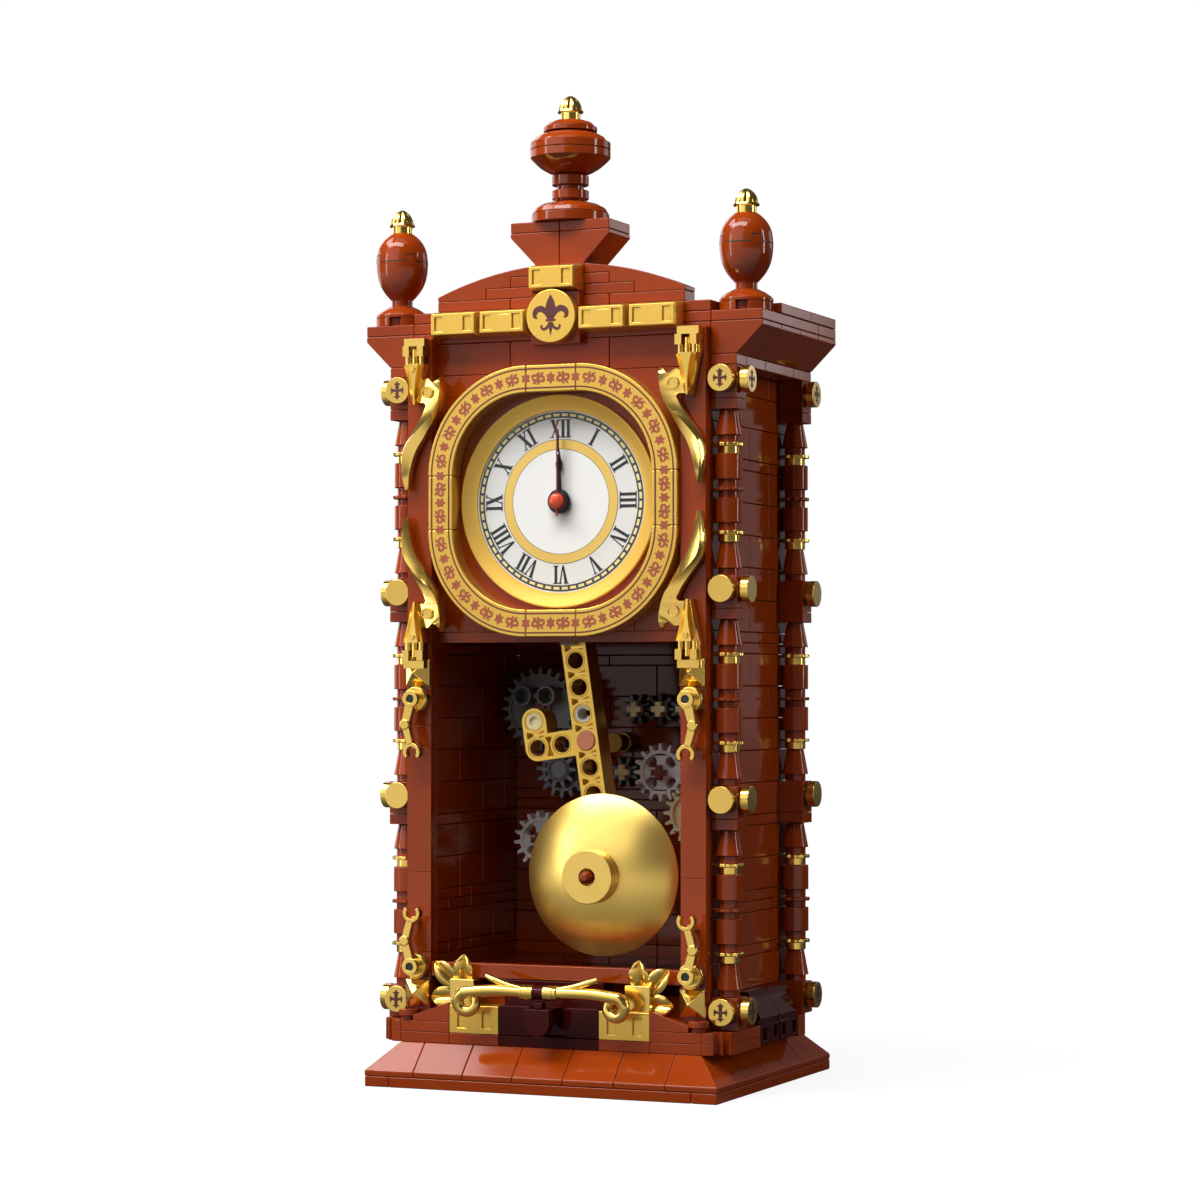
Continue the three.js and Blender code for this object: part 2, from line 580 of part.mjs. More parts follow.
// Finials.
const globeProfile = [
  [0, 0], [11.6, 0], [11.6, 2.8], [9, 5.2], [3.6, 6.6], [5.5, 6.8], [5.5, 9.8], [4, 9.8],
  [4, 11.2], [5.5, 11.2], [5.5, 14.2], [4.6, 14.6], [8.6, 16.4], [12, 19.2], [12, 24.2], [9.6, 26.2],
  [6.6, 27.2], [8, 27.4], [8, 28.8], [5.6, 30.4], [3, GLOBE_HEIGHT], [0, GLOBE_HEIGHT],
].map(([radius, height]) => [radius, PEDESTAL_TOP + height]);
add(clock, 'finial_globe', turnedZ(globeProfile, 0, FINIAL_Y, 14), BROWN);

const bud = (x, foot) => turnedZ([
  [0, foot], [2.9, foot], [2.9, foot + 2], [3.9, foot + 2.1], [3.9, foot + 3.1], [3.2, foot + 5],
  [1.8, foot + 6.6], [0.5, foot + 7.3], [0, foot + 7.3],
], x, FINIAL_Y, 8);
add(clock, 'finial_bud', bud(0, PEDESTAL_TOP + GLOBE_HEIGHT), GOLD);

for (const [side, sign] of sides) {
  const foot = CORNICE_TOP;
  const x = 7 * STUD * sign;
  const egg = [];
  const [eggFoot, eggHeight, eggRadius] = [foot + 3 * PLATE, 6 * PLATE, STUD];
  for (let i = 1; i < 10; i += 1) {
    const along = i / 10;
    const swell = Math.sin(Math.PI * along ** 0.86) ** 0.62;
    egg.push([Math.max(2.9, eggRadius * swell), eggFoot + eggHeight * along]);
  }
  add(clock, `urn_${side}`, turnedZ([
    [0, foot], [STUD - 0.1, foot], [STUD - 0.1, foot + PLATE], [6.2, foot + 1.45 * PLATE],
    [3.2, foot + 1.9 * PLATE], [3.2, eggFoot], ...egg,
    [2.9, eggFoot + eggHeight], [0, eggFoot + eggHeight],
  ], x, FINIAL_Y, 12), BROWN);
  add(clock, `urn_bud_${side}`, bud(x, eggFoot + eggHeight), GOLD);
}

// Dial surround: board with the lintel, bezel, dish, dial plate and movement.
const boardBack = CASE_FRONT + BOARD_DEPTH;
add(clock, 'dial_board', cut(
  box(-CAVITY_HALF_W, CAVITY_HALF_W, CASE_FRONT, boardBack, LINTEL_FOOT, CASE_TOP),
  discY(0, DIAL_Z, DIAL_RADIUS + CLEARANCE, CASE_FRONT - 1, boardBack + 1, 24),
), BROWN);

function bezel() {
  const [outer, inner] = [BEZEL_HALF, BEZEL_HALF - BEZEL_BAND];
  const shape = roundedRect(-outer, outer, DIAL_Z - outer, DIAL_Z + outer, BEZEL_CORNER);
  shape.holes.push(roundedRect(-inner, inner, DIAL_Z - inner, DIAL_Z + inner, BEZEL_CORNER - BEZEL_BAND));
  return prismY(shape, CASE_FRONT - BEZEL_DEPTH, CASE_FRONT, 5);
}
add(clock, 'bezel', bezel(), GOLD);
add(clock, 'dial_dish', turnedY([
  [DISH_BORE, DIAL_FACE], [DIAL_RADIUS, DIAL_FACE], [DIAL_RADIUS, CASE_FRONT], [DISH_RADIUS, CASE_FRONT],
  [DISH_RADIUS, CASE_FRONT - DISH_RISE], [DISH_BORE, DIAL_FACE - DISH_EDGE], [DISH_BORE, DIAL_FACE],
], 0, DIAL_Z, 24), GOLD);

// The hands' arbors nest in the dial's bore, each with a running clearance to the one inside it.
const dialBack = DIAL_FACE + DIAL_THICKNESS;
add(clock, 'dial_plate', turnedY([
  [DIAL_BORE, DIAL_FACE], [DIAL_RADIUS, DIAL_FACE], [DIAL_RADIUS, dialBack], [DIAL_BORE, dialBack],
  [DIAL_BORE, DIAL_FACE],
], 0, DIAL_Z, 24), WHITE);
const movementHeight = [DIAL_Z - MOVEMENT_HALF, DIAL_Z + MOVEMENT_HALF];
add(clock, 'movement', cut(
  box(-MOVEMENT_HALF, MOVEMENT_HALF, dialBack, dialBack + MOVEMENT_DEPTH, ...movementHeight),
  discY(0, DIAL_Z, DIAL_BORE, dialBack - 1, dialBack + ARBOR_REACH + CLEARANCE, 16),
), BLACK);

// A spade hand that points up, with a pipe or pin that reaches into the movement.
function hand(length, width, layer, boreRadius, pipeRadius) {
  const front = DIAL_FACE - (layer + 1) * HAND_STEP - HAND_THICKNESS;
  const back = front + HAND_THICKNESS;
  const spade = [
    [0, 1], [0.3, 1], [0.3, 0.62], [1, 0.5], [0.75, 0.4], [0.3, 0.34], [0.3, -0.12], [0, -0.12],
  ];
  const right = spade.map(([across, along]) => [(across * width) / 2, DIAL_Z + along * length]);
  const left = right.slice(1, -1).reverse().map(([x, z]) => [-x, z]);
  const blade = prismY(shapeOf([...right, ...left]), front, back);
  const boss = discY(0, DIAL_Z, pipeRadius + 0.7, front, back, 12);
  const end = dialBack + ARBOR_REACH;
  const pipe = discY(0, DIAL_Z, pipeRadius, back - HAND_THICKNESS / 2, end, 12);
  const whole = join(blade, boss, pipe);
  if (boreRadius === 0) return whole;
  return cut(whole, discY(0, DIAL_Z, boreRadius, front - 1, end + 1, 12));
}
add(clock, 'hour_hand', hand(HOUR_LENGTH, 4.6, 0, HOUR_BORE, HOUR_PIPE), BLACK);
add(clock, 'minute_hand', hand(MINUTE_LENGTH, 3.6, 1, MINUTE_BORE, MINUTE_PIPE), BLACK);
add(clock, 'second_hand', hand(SECOND_LENGTH, 0.9, 2, 0, SECOND_PIN_RADIUS), RED);

// S-scroll horns with tapered sockets on brackets, drawn in studs from the dial's centre.
function scroll() {
  const at = (u, v) => new THREE.Vector2(u * STUD, DIAL_Z + v * STUD);
  const inner = new THREE.SplineCurve([
    at(4.56, 4.48), at(4.42, 4.05), at(4.46, 3.5), at(4.98, 2.7), at(5.56, 1.6), at(5.75, 0.4),
  ]);
  const outer = new THREE.SplineCurve([
    at(5.93, 0.4), at(6.03, 1.3), at(5.82, 2.16), at(5.13, 3.15), at(5.06, 3.5), at(5.4, 3.75),
  ]);
  const throat = [at(5.4, 4.6), at(5.0, 4.28), at(4.75, 4.28)];
  const outline = new THREE.Shape([...inner.getPoints(7), ...outer.getPoints(7), ...throat]);
  const horn = prismY(outline, PILASTER_FRONT - 4.6, PILASTER_FRONT - 1.4);
  const [x, tip, root] = [5.5 * STUD, DIAL_Z + 3.62 * STUD, DIAL_Z + 5.08 * STUD];
  const ring = (z, half, depth) => [
    [x - half, PILASTER_FRONT - 0.4, z],
    [x - half, PILASTER_FRONT - depth, z],
    [x, PILASTER_FRONT - depth - 1, z],
    [x + half, PILASTER_FRONT - depth, z],
    [x + half, PILASTER_FRONT - 0.4, z],
  ];
  const socket = loft([ring(tip, 0.9, 4), ring((tip + root) / 2, 2.1, 4.4), ring(root, 4, 4.8)]);
  const rods = [-2.7, 0, 2.7].map((dx) => discZ(x + dx, PILASTER_FRONT - 3, 1, root - 1, root + 4, 6));
  const plate = box(
    x - STUD / 2 + 0.1, x + STUD / 2 - 0.1, PILASTER_FRONT - 5, PILASTER_FRONT, root + 3.3, root + 5.6,
  );
  return join(horn, socket, ...rods, plate);
}
const upperRightScroll = scroll();
for (const [side, sign] of sides) {
  add(clock, `scroll_upper_${side}`, mirrored(upperRightScroll, sign < 0, false, DIAL_Z), GOLD);
  add(clock, `scroll_lower_${side}`, mirrored(upperRightScroll, sign < 0, true, DIAL_Z), GOLD);
}

// Hook arms: a round boss, a bent arm and an open hook.
function rodBetween(a, b, width, y0, y1) {
  const [dx, dz] = [b[0] - a[0], b[1] - a[1]];
  const length = Math.hypot(dx, dz);
  const [nx, nz] = [(-dz / length) * (width / 2), (dx / length) * (width / 2)];
  return prismY(shapeOf([
    [a[0] + nx, a[1] + nz], [b[0] + nx, b[1] + nz], [b[0] - nx, b[1] - nz], [a[0] - nx, a[1] - nz],
  ]), y0, y1);
}

function hookArm() {
  const boss = [5.5 * STUD, HOOK_MIRROR_Z + HOOK_BOSS_RISE];
  const elbow = [boss[0] + 2, boss[1] - 7.6];
  const hook = [boss[0] - 0.2, boss[1] - 15.8];
  const [y0, y1] = [PILASTER_FRONT - 5.8, PILASTER_FRONT - 3.4];
  const claw = new THREE.Shape();
  const [start, end] = [-0.25 * Math.PI, 1.25 * Math.PI];
  claw.absarc(hook[0], hook[1], 2.7, start, end);
  claw.absarc(hook[0], hook[1], 1.6, end, start, true);
  const arm = join(
    discY(...boss, 3.8, PILASTER_FRONT - 3.6, PILASTER_FRONT, 10),
    discY(...boss, 2.5, y0 - 0.6, PILASTER_FRONT - 3, 8),
    rodBetween(boss, elbow, 2.6, y0, y1),
    rodBetween(elbow, [hook[0] + 0.6, hook[1] + 2], 2.4, y0, y1),
    discY(...elbow, 1.5, y0 - 0.5, y1, 6),
    prismY(claw, y0, y1, 4),
  );
  return cut(arm, discY(...boss, 1.1, y0 - 2, y0 + 2, 6));
}
const upperRightHook = hookArm();
for (const [side, sign] of sides) {
  add(clock, `hook_arm_upper_${side}`, mirrored(upperRightHook, sign < 0, false, HOOK_MIRROR_Z), GOLD);
  add(clock, `hook_arm_lower_${side}`, mirrored(upperRightHook, sign < 0, true, HOOK_MIRROR_Z), GOLD);
}

// Pendulum: it leans to the right on a fixed pin behind the lintel.
const beamBack = BEAM_FRONT + BEAM_DEPTH;
add(clock, 'pivot_pin', turnedY([
  [0, boardBack], [PIVOT_COLLAR, boardBack], [PIVOT_COLLAR, BEAM_FRONT - CLEARANCE],
  [PIVOT_PIN_RADIUS, BEAM_FRONT - CLEARANCE], [PIVOT_PIN_RADIUS, beamBack + CLEARANCE],
  [PIVOT_COLLAR, beamBack + CLEARANCE], [PIVOT_COLLAR, beamBack + CLEARANCE + PIVOT_TAIL],
  [0, beamBack + CLEARANCE + PIVOT_TAIL],
], 0, PIVOT_Z, 12), DARK_GREY);

const pendulum = new THREE.Group();
pendulum.position.z = PIVOT_Z;
pendulum.rotation.y = -PENDULUM_LEAN;
clock.add(pendulum);

// A flat link with round ends between two hole centres, given in hole pitches.
function link([x0, z0], [x1, z1]) {
  const half = STUD / 2;
  const [ax, az, bx, bz] = [x0, z0, x1, z1].map((pitches) => pitches * BEAM_PITCH);
  const heading = Math.atan2(bz - az, bx - ax);
  const shape = new THREE.Shape();
  shape.absarc(bx, bz, half, heading - Math.PI / 2, heading + Math.PI / 2);
  shape.absarc(ax, az, half, heading + Math.PI / 2, heading + 1.5 * Math.PI);
  return prismY(shape, BEAM_FRONT, beamBack, 5);
}

function pendulumBeam() {
  const links = [
    link([0, 0], [0, -BEAM_LAST_HOLE]),
    link([0, -ARM_HOLE], [-2, -ARM_HOLE]),
    link([-2, -ARM_HOLE], [-2, 1 - ARM_HOLE]),
  ];
  const holes = [[-1, -ARM_HOLE], [-2, -ARM_HOLE], [-2, 1 - ARM_HOLE]];
  for (let k = 0; k < BEAM_LAST_HOLE; k += 1) {
    if (k !== ARM_HOLE) holes.push([0, -k]);
  }
  const bores = holes.map(([x, z]) => discY(
    x * BEAM_PITCH, z * BEAM_PITCH, BEAM_HOLE_RADIUS, BEAM_FRONT - 1, beamBack + 1, 8,
  ));
  return cut(join(...links), ...bores);
}
add(pendulum, 'pendulum_beam', pendulumBeam(), GOLD);

function pendulumBob() {
  const sphere = (BOB_RADIUS ** 2 + BOB_RISE ** 2) / (2 * BOB_RISE);
  const dome = (radius) => BOB_RIM - (Math.sqrt(sphere ** 2 - radius ** 2) - (sphere - BOB_RISE));
  const back = [0.17, 0.4, 0.65, 0.93].map((share) => [
    BOB_RADIUS * share, dome(BOB_RADIUS * share) + BOB_WALL,
  ]);
  const front = [0.94, 0.82, 0.65, 0.48, HUB_RADIUS / BOB_RADIUS].map((share) => [
    BOB_RADIUS * share, dome(BOB_RADIUS * share),
  ]);
  const boss = back[0][0];
  return turnedY([
    [0, BEAM_FRONT], [boss, BEAM_FRONT], ...back, [BOB_RADIUS, BOB_RIM + BOB_LIP], [BOB_RADIUS, BOB_RIM],
    ...front, [HUB_RADIUS, HUB_FACE], [BEAM_HOLE_RADIUS, HUB_FACE],
    [BEAM_HOLE_RADIUS, HUB_FACE + BOB_WALL], [0, HUB_FACE + BOB_WALL],
  ], 0, -BEAM_LAST_HOLE * BEAM_PITCH, 18);
}
add(pendulum, 'pendulum_bob', pendulumBob(), GOLD);

// Gears on the back wall. A gear is [x, z, teeth, phase], with the phase of its first tooth in radians.
function gearShape([x, z, teeth, phase]) {
  const pitch = (2 * Math.PI) / teeth;
  const [root, tip] = [(teeth / 2 - 1.2) * GEAR_MODULE, (teeth / 2 + 0.85) * GEAR_MODULE];
  const points = [];
  for (let i = 0; i < teeth; i += 1) {
    for (const [radius, share] of [[root, -0.25], [tip, -0.1], [tip, 0.1], [root, 0.25]]) {
      const angle = phase + (i + share) * pitch;
      points.push([x + radius * Math.cos(angle), z + radius * Math.sin(angle)]);
    }
  }
  return shapeOf(points);
}

// The gear that meshes with another: its centre lies in the direction given, and a gap faces each tooth.
function meshedWith([x, z, teeth, phase], ownTeeth, direction) {
  const reach = ((teeth + ownTeeth) / 2) * GEAR_MODULE;
  const fraction = ((direction - phase) * teeth) / (2 * Math.PI);
  const ownPhase = direction + Math.PI - ((0.5 - fraction) * 2 * Math.PI) / ownTeeth;
  return [x + reach * Math.cos(direction), z + reach * Math.sin(direction), ownTeeth, ownPhase];
}

// A gear with a hub that reaches back to the wall and an axle that turns in the wall's bore.
function wheel(gear, hubRadius, extras = [], holes = []) {
  const [x, z] = gear;
  const hub = discY(x, z, hubRadius, GEAR_FRONT - HUB_STEP, BACK_WALL_FRONT - CLEARANCE, 8);
  const axle = discY(x, z, AXLE_RADIUS, GEAR_FRONT - AXLE_NOSE, BACK_WALL_FRONT + AXLE_INSET, 8);
  const teeth = prismY(gearShape(gear), GEAR_FRONT, GEAR_FRONT + GEAR_WIDTH);
  return join(cut(teeth, ...holes), hub, axle, ...extras);
}

function lightening(gear, count, radius, at) {
  const [x, z, , phase] = gear;
  return Array.from({ length: count }, (_, i) => {
    const angle = phase + (2 * Math.PI * (i + 0.5)) / count;
    const centre = [x + at * Math.cos(angle), z + at * Math.sin(angle)];
    return discY(...centre, radius, GEAR_FRONT - 1, GEAR_FRONT + GEAR_WIDTH + 1, 6);
  });
}

const largeGear = [-3 * STUD, ROW_TOP_Z, 24, 0];
const middleLeftGear = meshedWith(largeGear, 16, THREE.MathUtils.degToRad(-68));
const lowerLeftGear = [-3 * STUD, ROW_LOW_Z, 16, 0.1];
const pinionMiddle = [2 * STUD, ROW_TOP_Z, 8, 0];
const pinionLeft = meshedWith(pinionMiddle, 8, Math.PI);
const pinionRight = meshedWith(pinionMiddle, 8, 0);
const rightGear = [2 * STUD, ROW_MID_Z, 16, 0];
const sidePinion = meshedWith(rightGear, 8, Math.PI);
const tanGear = meshedWith(rightGear, 16, THREE.MathUtils.degToRad(-52));
const gears = [
  largeGear, middleLeftGear, lowerLeftGear, pinionMiddle, pinionLeft,
  pinionRight, rightGear, sidePinion, tanGear,
];

const connectorTubes = [-1, 1].map((sign) => {
  const [x, z] = [largeGear[0] + STUD / 2 * sign, largeGear[1] + STUD / 2];
  const [near, far] = [GEAR_FRONT - TUBE_REACH, GEAR_FRONT + 1];
  return turnedY([
    [TUBE_BORE, near], [TUBE_RADIUS, near], [TUBE_RADIUS, far], [TUBE_BORE, far], [TUBE_BORE, near],
  ], x, z, 8);
});
const frontGear = [middleLeftGear[0], middleLeftGear[1], 10, 0];
const frontTeeth = prismY(gearShape(frontGear), GEAR_FRONT - FRONT_GEAR_REACH, GEAR_FRONT + 1);
const [wideHub, slimHub] = [0.45 * STUD, 0.34 * STUD];
add(clock, 'gear_large', wheel(largeGear, wideHub, connectorTubes), DARK_GREY);
add(clock, 'gear_middle_left', wheel(middleLeftGear, wideHub, [frontTeeth]), DARK_GREY);
for (const [name, gear] of [['gear_lower_left', lowerLeftGear], ['gear_right', rightGear]]) {
  const holes = lightening(gear, 4, LIGHTENING_RADIUS, LIGHTENING_REACH);
  add(clock, name, wheel(gear, slimHub, [], holes), LIGHT_GREY);
}
for (const [name, gear, material] of [
  ['pinion_left', pinionLeft, BLACK],
  ['pinion_middle', pinionMiddle, BLACK],
  ['pinion_right', pinionRight, BLACK],
  ['pinion_side', sidePinion, BLACK],
  ['gear_tan', tanGear, TAN],
]) {
  add(clock, name, wheel(gear, slimHub), material);
}

// The back wall carries the gears' axles in blind bores.
add(clock, 'back_wall', cut(
  box(-CAVITY_HALF_W, CAVITY_HALF_W, BACK_WALL_FRONT, CASE_BACK, WALL_FOOT, CASE_TOP),
  ...gears.map(([x, z]) => discY(
    x, z, AXLE_BORE, BACK_WALL_FRONT - 1, BACK_WALL_FRONT + AXLE_INSET + CLEARANCE, 8,
  )),
), BROWN);

export default clock;
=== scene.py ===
# The look of a brick-built mantel clock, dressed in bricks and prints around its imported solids.
import math
import random

import bmesh
import bpy
from mathutils import Matrix, Vector
from mathutils.geometry import tessellate_polygon


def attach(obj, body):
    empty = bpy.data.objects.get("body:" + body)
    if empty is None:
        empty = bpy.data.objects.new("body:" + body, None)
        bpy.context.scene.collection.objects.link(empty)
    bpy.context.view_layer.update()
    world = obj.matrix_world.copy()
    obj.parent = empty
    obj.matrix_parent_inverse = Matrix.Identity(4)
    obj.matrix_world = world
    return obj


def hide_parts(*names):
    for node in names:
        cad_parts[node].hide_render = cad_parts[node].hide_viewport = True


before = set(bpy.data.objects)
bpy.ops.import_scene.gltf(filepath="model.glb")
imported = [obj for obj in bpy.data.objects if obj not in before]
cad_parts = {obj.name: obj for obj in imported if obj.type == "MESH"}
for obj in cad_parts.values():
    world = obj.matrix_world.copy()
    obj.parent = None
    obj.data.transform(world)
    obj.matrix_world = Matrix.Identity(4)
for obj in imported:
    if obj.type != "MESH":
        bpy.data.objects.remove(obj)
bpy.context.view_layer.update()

# All sizes are millimetres in the frame of the solids: X right, -Y towards the front, Z up.
MM = 0.001
STUD = 8.0
PLATE = 3.2
BRICK = 9.6
SIDES = (-1, 1)
NAMED_SIDES = (("left", -1), ("right", 1))
shade = random.Random(11)

# Heights of the courses.
SKIRT_TOP = 4 * PLATE
PLINTH_STEP = 5 * PLATE
PLINTH_TOP = 6 * PLATE
WALL_FOOT = 9 * PLATE
SILL_FOOT = 10 * PLATE
FLOOR_TOP = 11 * PLATE
SILL_TOP = 11.4 * PLATE
LINTEL_FOOT = 41 * PLATE
DIAL_Z = 54 * PLATE
CASE_TOP = 66 * PLATE
CORBEL_FOOT = 67 * PLATE
CORBEL_TOP = 69.5 * PLATE
SLAB_FOOT = 70 * PLATE
CORNICE_TOP = 71 * PLATE
ROOF_TOP = 72 * PLATE
ARCH_END = 73.4 * PLATE
PEDESTAL_FOOT = 76 * PLATE
PEDESTAL_FLARE = 78.6 * PLATE
PEDESTAL_TOP = 80 * PLATE

# Depths and half widths.
BASE_HALF_W = 7 * STUD
BASE_HALF_D = 6 * STUD
CASE_HALF_W = 6 * STUD
CAVITY_HALF_W = 5 * STUD
CORNICE_HALF_W = 8 * STUD
PLINTH_FRONT = -5 * STUD
CASE_FRONT = -4 * STUD
CASE_BACK = 4 * STUD
BACK_WALL_FRONT = 3 * STUD
PILASTER_FRONT = CASE_FRONT - STUD / 2
GILT_FACE = CASE_FRONT - 2 * PLATE
FINIAL_Y = -3 * STUD
SIDE_APRON = (-1.6 * STUD, 2.4 * STUD)

# Columns, dial, pendulum and gears.
COLUMN_X = 6.5 * STUD
COLUMN_Y = 3.5 * STUD
BLOCK_PITCH = 19 * PLATE
DIAL_FACE = CASE_FRONT + 1
DIAL_RADIUS = 29.2
PIVOT = (0.0, -19.0, LINTEL_FOOT + 2.65)
LEAN = math.radians(8.4)
BEAM_FRONT, BEAM_BACK = -23.0, -15.0
BOB_DROP = 9 * STUD
GEAR_FRONT = 0.9 * STUD
GEAR_WIDTH = 4.4

# The printed skins lie this far in front of what they are printed on, and bricks keep this seam on each side.
INK = 0.05
SEAM_GAP = 0.055
# A wall's dark core, painted shade that shows in the seams, starts this far behind its faces and closes the
# seams.
CORE = 2.0
# Edges above the first angle stay sharp on a piece with no bevel. Those above the second are rounded on one
# that has a bevel.
SHARP_ANGLE, BEVEL_ANGLE = math.radians(35), math.radians(32)


def srgb(red, green, blue):
    """A colour given in display values, as the linear values that a shader takes."""
    def linear(value):
        share = value / 255
        return share / 12.92 if share <= 0.04045 else ((share + 0.055) / 1.055) ** 2.4
    return (linear(red), linear(green), linear(blue), 1.0)


# Materials: moulded plastics, golds and inks, all procedural.
def blank(name):
    material = bpy.data.materials.new(name)
    material.use_nodes = True
    tree = material.node_tree
    shader = tree.nodes["Principled BSDF"]
    return material, tree, shader


def add_noise(tree, scale, detail, distortion=0.0):
    coords = tree.nodes.new("ShaderNodeTexCoord")
    noise = tree.nodes.new("ShaderNodeTexNoise")
    noise.inputs["Scale"].default_value = scale
    noise.inputs["Detail"].default_value = detail
    noise.inputs["Distortion"].default_value = distortion
    tree.links.new(coords.outputs["Object"], noise.inputs["Vector"])
    return noise.outputs["Fac"]


def remap(tree, value, source, target):
    node = tree.nodes.new("ShaderNodeMapRange")
    for socket, number in zip(("From Min", "From Max", "To Min", "To Max"), (*source, *target)):
        node.inputs[socket].default_value = number
    tree.links.new(value, node.inputs["Value"])
    return node.outputs["Result"]


def combine(tree, operation, *values):
    """A sum, a product or the like of values in the tree."""
    node = tree.nodes.new("ShaderNodeMath")
    node.operation = operation
    for value, socket in zip(values, node.inputs):
        tree.links.new(value, socket)
    return node.outputs[0]


def mixed(tree, first, second, factor):
    """A blend of two colours by a factor in the tree."""
    mix = tree.nodes.new("ShaderNodeMix")
    mix.data_type = "RGBA"
    mix.inputs["A"].default_value = first
    mix.inputs["B"].default_value = second
    tree.links.new(factor, mix.inputs["Factor"])
    return mix.outputs["Result"]


def shaded(tree, shader, colour, value):
    """Gives the shader a colour whose brightness follows a value in the tree."""
    vary = tree.nodes.new("ShaderNodeHueSaturation")
    vary.inputs["Color"].default_value = srgb(*colour)
    tree.links.new(value, vary.inputs["Value"])
    tree.links.new(vary.outputs["Color"], shader.inputs["Base Color"])


def add_bump(tree, shader, height, depth_mm, strength):
    bump = tree.nodes.new("ShaderNodeBump")
    bump.inputs["Strength"].default_value = strength
    bump.inputs["Distance"].default_value = depth_mm * MM
    tree.links.new(height, bump.inputs["Height"])
    tree.links.new(bump.outputs["Normal"], shader.inputs["Normal"])


def plastic(name, colour, roughness, spread=0.1, gloss=0.5):
    """Moulded plastic: every brick has its own slight shade, with flow marks and a fine skin."""
    material, tree, shader = blank(name)
    flow = add_noise(tree, scale=40, detail=1, distortion=0.5)
    skin = add_noise(tree, scale=420, detail=3)
    tint = tree.nodes.new("ShaderNodeAttribute")
    tint.attribute_name = "tint"
    total = combine(tree, "ADD", flow, tint.outputs["Fac"])
    shaded(tree, shader, colour, remap(tree, total, (0.3, 1.7), (1 - spread, 1 + spread)))
    dullness = remap(tree, flow, (0.3, 0.7), (0.8 * roughness, 1.25 * roughness))
    tree.links.new(dullness, shader.inputs["Roughness"])
    shader.inputs["Specular IOR Level"].default_value = gloss
    add_bump(tree, shader, skin, depth_mm=0.05, strength=0.01)
    return material


def gold(name, light, deep, roughness, metal=0.8, coat=0.0):
    """Gold-coloured plastic: metal flakes in a body of that colour, with faint swirls of a deeper tone
    and, where it is polished, a clear coat."""
    material, tree, shader = blank(name)
    swirl = add_noise(tree, scale=30, detail=0, distortion=0.5)
    skin = add_noise(tree, scale=700, detail=2)
    colour = mixed(tree, srgb(*deep), srgb(*light), remap(tree, swirl, (0.2, 0.7), (0.3, 1.0)))
    tree.links.new(colour, shader.inputs["Base Color"])
    dullness = remap(tree, swirl, (0.3, 0.7), (1.08 * roughness, 0.95 * roughness))
    tree.links.new(dullness, shader.inputs["Roughness"])
    shader.inputs["Metallic"].default_value = metal
    shader.inputs["Coat Weight"].default_value = coat
    shader.inputs["Coat Roughness"].default_value = roughness
    add_bump(tree, shader, skin, depth_mm=0.02, strength=0.004)
    return material


def ink(name, colour, roughness=0.45, spread=0.12):
    """Printed ink with a slightly uneven cover."""
    material, tree, shader = blank(name)
    cover = add_noise(tree, scale=900, detail=3)
    shaded(tree, shader, colour, remap(tree, cover, (0.2, 0.8), (1 - spread, 1 + spread)))
    shader.inputs["Roughness"].default_value = roughness
    return material


BROWN = plastic("brown_gloss", (153, 57, 9), 0.09, spread=0.09, gloss=0.32)
DARK_BROWN = plastic("dark_brown_gloss", (66, 14, 12), 0.08, gloss=0.12)
SATIN_GOLD = gold("satin_gold", (230, 188, 86), (216, 170, 70), 0.26, metal=0.78)
SCROLL_GOLD = gold("scroll_gold", (238, 198, 94), (224, 178, 74), 0.2, metal=0.95, coat=0.8)
BRIGHT_GOLD = gold("bright_gold", (236, 196, 92), (222, 176, 72), 0.16, metal=0.95, coat=0.8)
BOB_GOLD = gold("bob_gold", (238, 200, 98), (232, 190, 86), 0.3, metal=0.95, coat=0.8)
DISH_GOLD = gold("dish_gold", (220, 178, 82), (210, 166, 70), 0.6, metal=0.6)
# Painted shade: a darkened gold for the bush in the shadow at the back of the cavity.
SHADED_BUSH_GOLD = gold("painted_shade_gold", (128, 92, 34), (104, 72, 24), 0.4)
BLACK = plastic("black_satin", (26, 27, 29), 0.3)
DARK_GREY = plastic("dark_grey_satin", (126, 129, 134), 0.3)
LIGHT_GREY = plastic("light_grey_satin", (246, 248, 250), 0.32)
TAN = plastic("tan_satin", (248, 232, 180), 0.34)
WHITE = plastic("white_bush", (236, 236, 232), 0.35)
ENAMEL = plastic("dial_enamel", (234, 233, 230), 0.3, spread=0.05)
TERRACOTTA = plastic("terracotta_cap", (205, 122, 88), 0.4)
DARK_RED = plastic("dark_red_axle", (122, 32, 20), 0.25)
ORANGE = plastic("orange_cap", (226, 78, 30), 0.25)
RED = plastic("second_hand_red", (206, 44, 26), 0.35)
ORNAMENT_INK = ink("ornament_ink", (168, 82, 54))
BORDER_INK = ink("border_ink", (104, 28, 26))
CREST_INK = ink("crest_ink", (84, 26, 26))
DIAL_INK = ink("dial_ink", (22, 22, 24))
TRACK_INK = ink("track_ink", (54, 58, 64))
WHITE_INK = ink("white_ink", (252, 251, 248), 0.3, spread=0.01)
CREAM_INK = ink("cream_ink", (244, 228, 160))
GOLD_INK = gold("dial_ring_gold", (232, 196, 108), (208, 166, 78), 0.34)
# Painted shade: the dark inside the seams between bricks and along the urn's joint line.
SEAM_SHADE = ink("seam_shadow", (30, 8, 4))

# The slot of the solids that each main material stands for.
SLOT_OF = {
    BROWN: "brown_plastic", DARK_BROWN: "dark_brown_plastic", BLACK: "black_plastic",
    DARK_GREY: "dark_grey_plastic", LIGHT_GREY: "light_grey_plastic", TAN: "tan_plastic",
    ENAMEL: "white_plastic", RED: "red_plastic",
    **dict.fromkeys((SATIN_GOLD, SCROLL_GOLD, BRIGHT_GOLD, BOB_GOLD, DISH_GOLD), "gold_plastic"),
}


